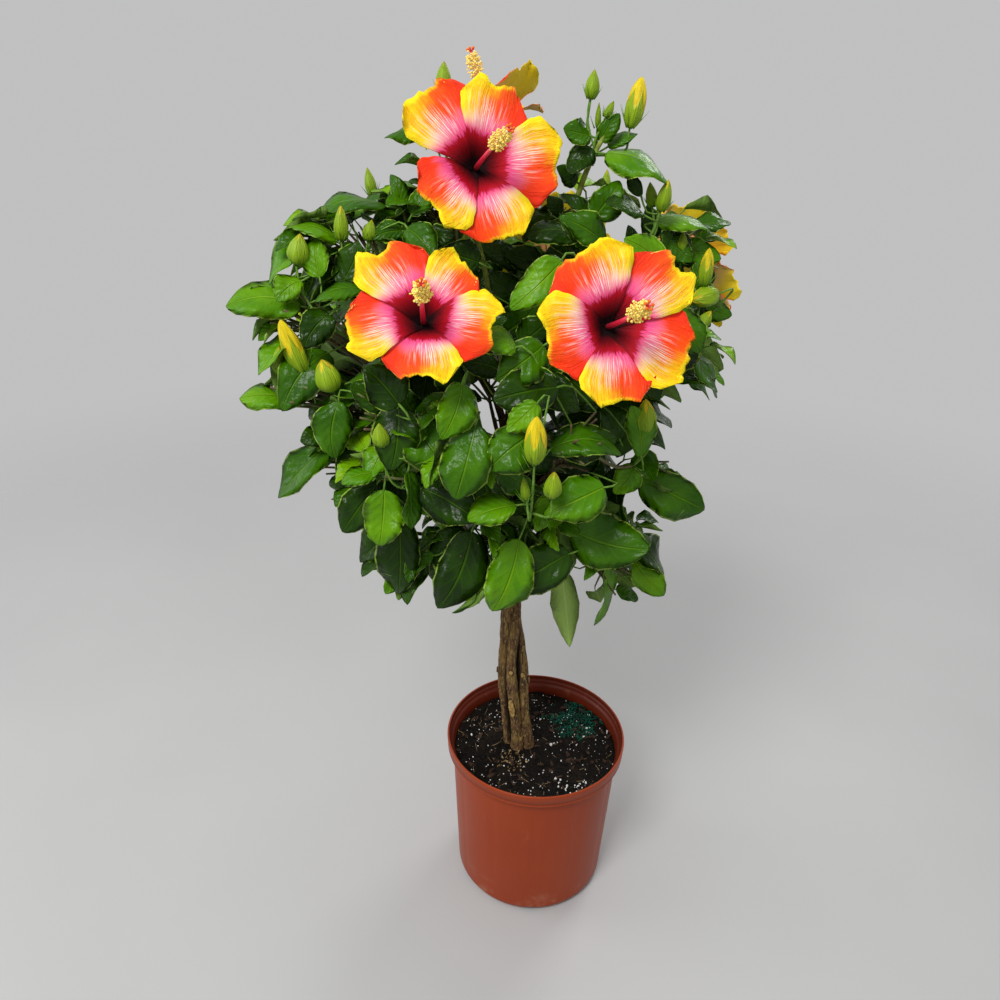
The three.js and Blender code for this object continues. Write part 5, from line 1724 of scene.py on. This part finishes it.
anther_shape = grain("anther", pollen_material, (1, 0.85, 0.8), 0.3, 1, 9)
anther_points = [vertex.co.copy() for vertex in anther_shape.data.vertices]
anther_faces = [tuple(face.vertices) for face in anther_shape.data.polygons]
bpy.data.objects.remove(anther_shape)
for seed, (name, (throat, axis, size)) in enumerate(bloom_places.items()):
    to_right, up = bloom_axes(axis)
    turn = Matrix((to_right, up, axis)).transposed()
    hand, petals = PETALS.get(name, (1, EVEN_PETALS))
    bloom = Bundle()
    for order, (direction, long, wide, bend) in enumerate(petals):
        phase = seed * 2.1 + order * 1.7
        length, width = PETAL_LENGTH * long, PETAL_WIDTH * wide
        shape, faces, finish, places = petal_shape(length, width, hand, bend * MM, phase)
        # A petal curves to one side, so it is turned back a little.
        swing = Matrix.Rotation(math.radians(direction - 4 * hand), 3, "Z")
        bloom.add([throat + turn @ (swing @ point) * size for point in shape], faces, finish, places)

    # The column: a tube that carries the pollen round its outer half and ends in five pads.
    lean = Vector((*COLUMN_LEANS.get(name, USUAL_LEAN), 0)) * MM
    column = []
    for i in range(COLUMN_STEPS + 1):
        t = i / COLUMN_STEPS
        point = Vector((0, 0, -THROAT * 0.9 + COLUMN_LENGTH * 1.25 * t)) + lean * t * t
        column.append(throat + turn @ point * size)
    shape, faces, places = tube(column, lambda share: (2.7 - 1.3 * share) * MM, 10)
    bloom.add(shape, faces, COLUMN, places)
    end = column[-1]
    end_way = (column[-1] - column[-2]).normalized()
    side = end_way.orthogonal().normalized()
    for i in range(5):
        out = Matrix.Rotation(2 * math.pi * i / 5, 3, end_way) @ side
        pad = end + end_way * 4.5 * MM + out * 3.4 * MM
        arm = smooth_path([end - end_way * MM, end + end_way * 3 * MM + out * 1.5 * MM, pad], 5)
        bloom.add(*tube(arm, lambda share: 0.7 * MM, 5)[:2], COLUMN)
        ball = bmesh.new()
        bmesh.ops.create_icosphere(ball, subdivisions=2, radius=1.45 * MM)
        for vertex in ball.verts:
            vertex.co *= 1 + 0.12 * noise.noise(vertex.co * 900 + Vector((i, 0, 0)))
        ball_faces = [tuple(vertex.index for vertex in face.verts) for face in ball.faces]
        bloom.add([pad + vertex.co for vertex in ball.verts], ball_faces, STIGMA)
        ball.free()

    # The filaments stand out all round the outer half of the column, each with its pollen sac.
    spin = random.Random(seed)
    for i in range(FILAMENTS):
        t = POLLEN_START + POLLEN_SPAN * (i + spin.random()) / FILAMENTS
        k = int(t * COLUMN_STEPS)
        root = column[k].lerp(column[min(k + 1, COLUMN_STEPS)], t * COLUMN_STEPS % 1)
        out = Matrix.Rotation(i * GOLDEN_ANGLE, 3, end_way) @ side
        reach = (4.8 + 3.6 * spin.random()) * MM * (1.15 - 0.5 * abs(t - 0.82) / 0.16)
        tip = root + out * reach + end_way * reach * spin.uniform(-0.1, 0.7)
        bloom.add(*tube([root, tip], lambda share: 0.32 * MM, 3)[:2], POLLEN)
        sac = 1.25 * MM * spin.uniform(0.8, 1.25)
        tilt = Matrix.Rotation(spin.uniform(0, 3), 3, out)
        bloom.add([tip + tilt @ (point * 2 * sac) for point in anther_points], anther_faces, POLLEN)

    # The calyx: a green cup with five points that clasps the foot of the petals, on its own stalk.
    cup_foot = throat - axis * (THROAT + 24 * MM) * size
    cup_path = [cup_foot + axis * 20 * MM * size * t for t, _ in CUP_RINGS]

    def cup_radius(share):
        return CUP_RINGS[round(share * (len(CUP_RINGS) - 1))][1] * MM * size

    shape, faces, places = tube(cup_path, cup_radius, 15)
    bloom.add(shape, faces, CALYX, places)
    for shape, faces, places in bracts(cup_foot + axis * 3 * MM, axis, 17 * MM, BRACTS, 0.75, seed):
        bloom.add(shape, faces, CALYX, places)
    for i in range(5):
        out = Matrix.Rotation(2 * math.pi * (i + 0.5) / 5, 3, axis) @ to_right
        rim = cup_foot + axis * 17 * MM * size + out * 6.5 * MM * size
        tip = rim + axis * 15 * MM * size + out * 9 * MM * size
        sepal_path = [rim, rim.lerp(tip, 0.5), tip]
        shape, faces, places = tube(sepal_path, lambda share: 3.4 * MM * (1 - 0.92 * share), 6)
        bloom.add(shape, faces, CALYX, places)
    behind = cup_foot - axis * 24 * MM - Vector((0, 0, 10 * MM))
    root = nearest_twig(behind - axis * 20 * MM)
    stem = smooth_path([cup_foot + axis * 2 * MM, behind, root], 12)
    green_wood.add(*tube(stem, lambda share: 2.1 * MM, 8, furrowed(seed + 60, 0.4))[:2], GREEN)
    made = bloom.piece("open_bloom_" + name, BLOOM_FINISHES, "petals")
    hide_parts("bloom_" + name)

# ---- Buds --------------------------------------------------------------------------------------
# Pointed buds wrapped in five green sepals over a ring of thin bracts. The ripest have pushed out
# a rolled yellow tip of petals and open in a day or two.

# Each bud: its foot and its tip in millimetres, its thickness, and its ripeness from 0 to 1.
BUDS = [
    ((58, -10, 1037), (66, -12, 1084), 19, 1.0), ((17, -10, 1062), (19, -12, 1089), 14, 0.1),
    ((-128, -20, 1062), (-127, -20, 1092), 15, 0.1), ((33, -12, 1046), (40, -12, 1062), 8, 0.0),
    ((26, -8, 1036), (26, -8, 1060), 6, 0.0), ((-262, -115, 804), (-281, -120, 862), 21, 1.0),
    ((-286, -112, 802), (-287, -112, 833), 18, 0.1), ((-231, -130, 793), (-241, -130, 826), 25, 0.45),
    ((-174, -195, 762), (-176, -198, 787), 16, 0.0), ((-267, -90, 909), (-262, -90, 939), 21, 0.2),
    ((-225, -75, 930), (-224, -75, 964), 14, 0.3), ((-200, -70, 930), (-195, -70, 951), 13, 0.1),
    ((-31, -235, 766), (-31, -240, 814), 20, 1.0), ((-36, -225, 724), (-40, -228, 750), 9, 0.0),
    ((-13, -225, 728), (-12, -230, 757), 17, 0.2), ((88, -125, 758), (82, -130, 795), 20, 0.5),
    ((96, -20, 960), (100, -25, 992), 15, 0.3), ((89, -10, 963), (84, -10, 988), 12, 0.1),
    ((149, -25, 886), (150, -28, 927), 15, 0.9), ((167, -20, 878), (134, -40, 875), 22, 0.4),
    ((150, -30, 844), (159, -35, 863), 14, 0.3), ((129, 10, 912), (128, 8, 938), 12, 0.1),
    ((-103, -60, 922), (-103, -60, 941), 10, 0.0), ((150, 150, 700), (158, 158, 738), 14, 0.5),
    ((-190, 150, 900), (-198, 158, 938), 15, 0.9), ((-60, 206, 800), (-62, 216, 838), 15, 0.4),
    ((60, 190, 950), (62, 196, 984), 13, 0.2), ((-300, 60, 800), (-310, 64, 838), 14, 0.6),
    ((-210, 40, 960), (-216, 44, 990), 12, 0.1),
]
buds = Bundle()
BRACT, BUD_SKIN = range(2)
BUD_ROWS = 18
BUD_SIDES = 30
bud_green = leaf_finish("bud_green", (0.10, 0.26, 0.018), (0.20, 0.42, 0.03), (0.36, 0.56, 0.10), 0.42)
bud_finish = Finish("bud_yellow")
bud_map = bud_finish.on_map()
bud_across, bud_along = bud_map
bud_rays = bud_finish.rays(bud_map, 16, 2, 0.0, 3)
bud_ribs = bud_finish.rays(bud_map, 30, 1.2, 4.0, 2)
# Along the map the sepals end at 0.5, and their five points stand up from there.
sepal_points = 0.34 * abs((bud_across * (2.5 * math.pi)).wave())
past_the_sepals = (bud_along + sepal_points + 0.16 * (bud_ribs - 0.5)).between(0.54, 0.64)
sepal_green = bud_finish.ramp(bud_ribs + bud_along * 0.25, [
    (0.25, (0.12, 0.24, 0.003)), (0.5, (0.22, 0.36, 0.005)), (0.75, (0.40, 0.50, 0.015)),
])
rolled_yellow = bud_finish.ramp(bud_rays + (bud_along - 0.7) * 0.5, [
    (0.25, (0.52, 0.40, 0.006)), (0.5, (0.80, 0.62, 0.006)), (0.8, (0.92, 0.72, 0.01)),
])
bud_skin = bud_finish.surface(
    Base_Color=bud_finish.mixed(past_the_sepals, sepal_green, rolled_yellow),
    Roughness=0.42 + 0.12 * bud_rays,
    Normal=bud_finish.raised(bud_rays * 0.6 + bud_ribs - past_the_sepals * 0.7, 0.8, 0.0022),
    Specular_IOR_Level=0.3,
)
for seed, (start, stop, thick, ripe) in enumerate(BUDS):
    foot_place, tip_place = Vector(start) * MM, Vector(stop) * MM
    axis = (tip_place - foot_place).normalized()
    length = (tip_place - foot_place).length
    path = [foot_place + axis * length * i / BUD_ROWS for i in range(BUD_ROWS + 1)]

    def bud_radius(share):
        belly = math.sin(math.pi * share ** (0.70 + 0.08 * ripe)) ** (0.78 - 0.18 * ripe)
        return max(0.4 * MM, thick / 2 * MM * belly)

    def lobes(share, angle, _):
        rolled = max(0.0, share - 0.45) * 0.24 * ripe * math.sin(3 * angle + 8 * share + seed)
        sepals = 0.07 * math.sin(5 * angle + 1.5 * share)
        return 1 + sepals + 0.03 * math.sin(11 * angle + 7 * share) + rolled

    shape, faces, places = tube(path, bud_radius, BUD_SIDES, lobes)
    green_until = 1.20 - 0.52 * ripe
    # The map runs up one side and down the other, so that it meets itself without a seam.
    places = [(abs(2 * across - 1), 0.5 + share - green_until) for across, share in places]
    buds.add(shape, faces, BUD_SKIN, places)
    for shape, faces, places in bracts(foot_place + axis * MM, axis, length * 0.42, BRACTS, 0.62, seed):
        buds.add(shape, faces, BRACT, places)
    below = foot_place - axis * 22 * MM
    root = nearest_twig(below - Vector((0, 0, 15 * MM)))
    stem = smooth_path([foot_place + axis * MM, below, root], 9)
    green_wood.add(*tube(stem, lambda share: (1.05 + 0.5 * share) * MM, 6)[:2], GREEN)

buds.piece("buds", [bud_green, bud_skin], "leaves")

# ---- Twigs and leaves, joined ------------------------------------------------------------------
# The blooms and buds have added the last stems, so the twigs and stalks are joined in one piece,
# and the leaves in two: those in front of the trunk and those behind it.

lime_stem_material = speckled("lime_stem", (0.13, 0.16, 0.02), (0.26, 0.32, 0.06), 160, 0.5)
stem_finishes = [stalk_material, leaf_stalk_material, lime_stem_material]
green_wood.piece("twigs_and_leaf_stalks", stem_finishes, "bark")
front_leaves = leaves["front"].piece("leaves_front", LEAF_FINISHES, "leaves")
back_leaves = leaves["back"].piece("leaves_back", LEAF_FINISHES, "leaves")
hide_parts(*["foliage_" + mass for mass in MASSES if middle_of(mass).y < 0])
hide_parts(*["foliage_" + mass for mass in MASSES if middle_of(mass).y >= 0])
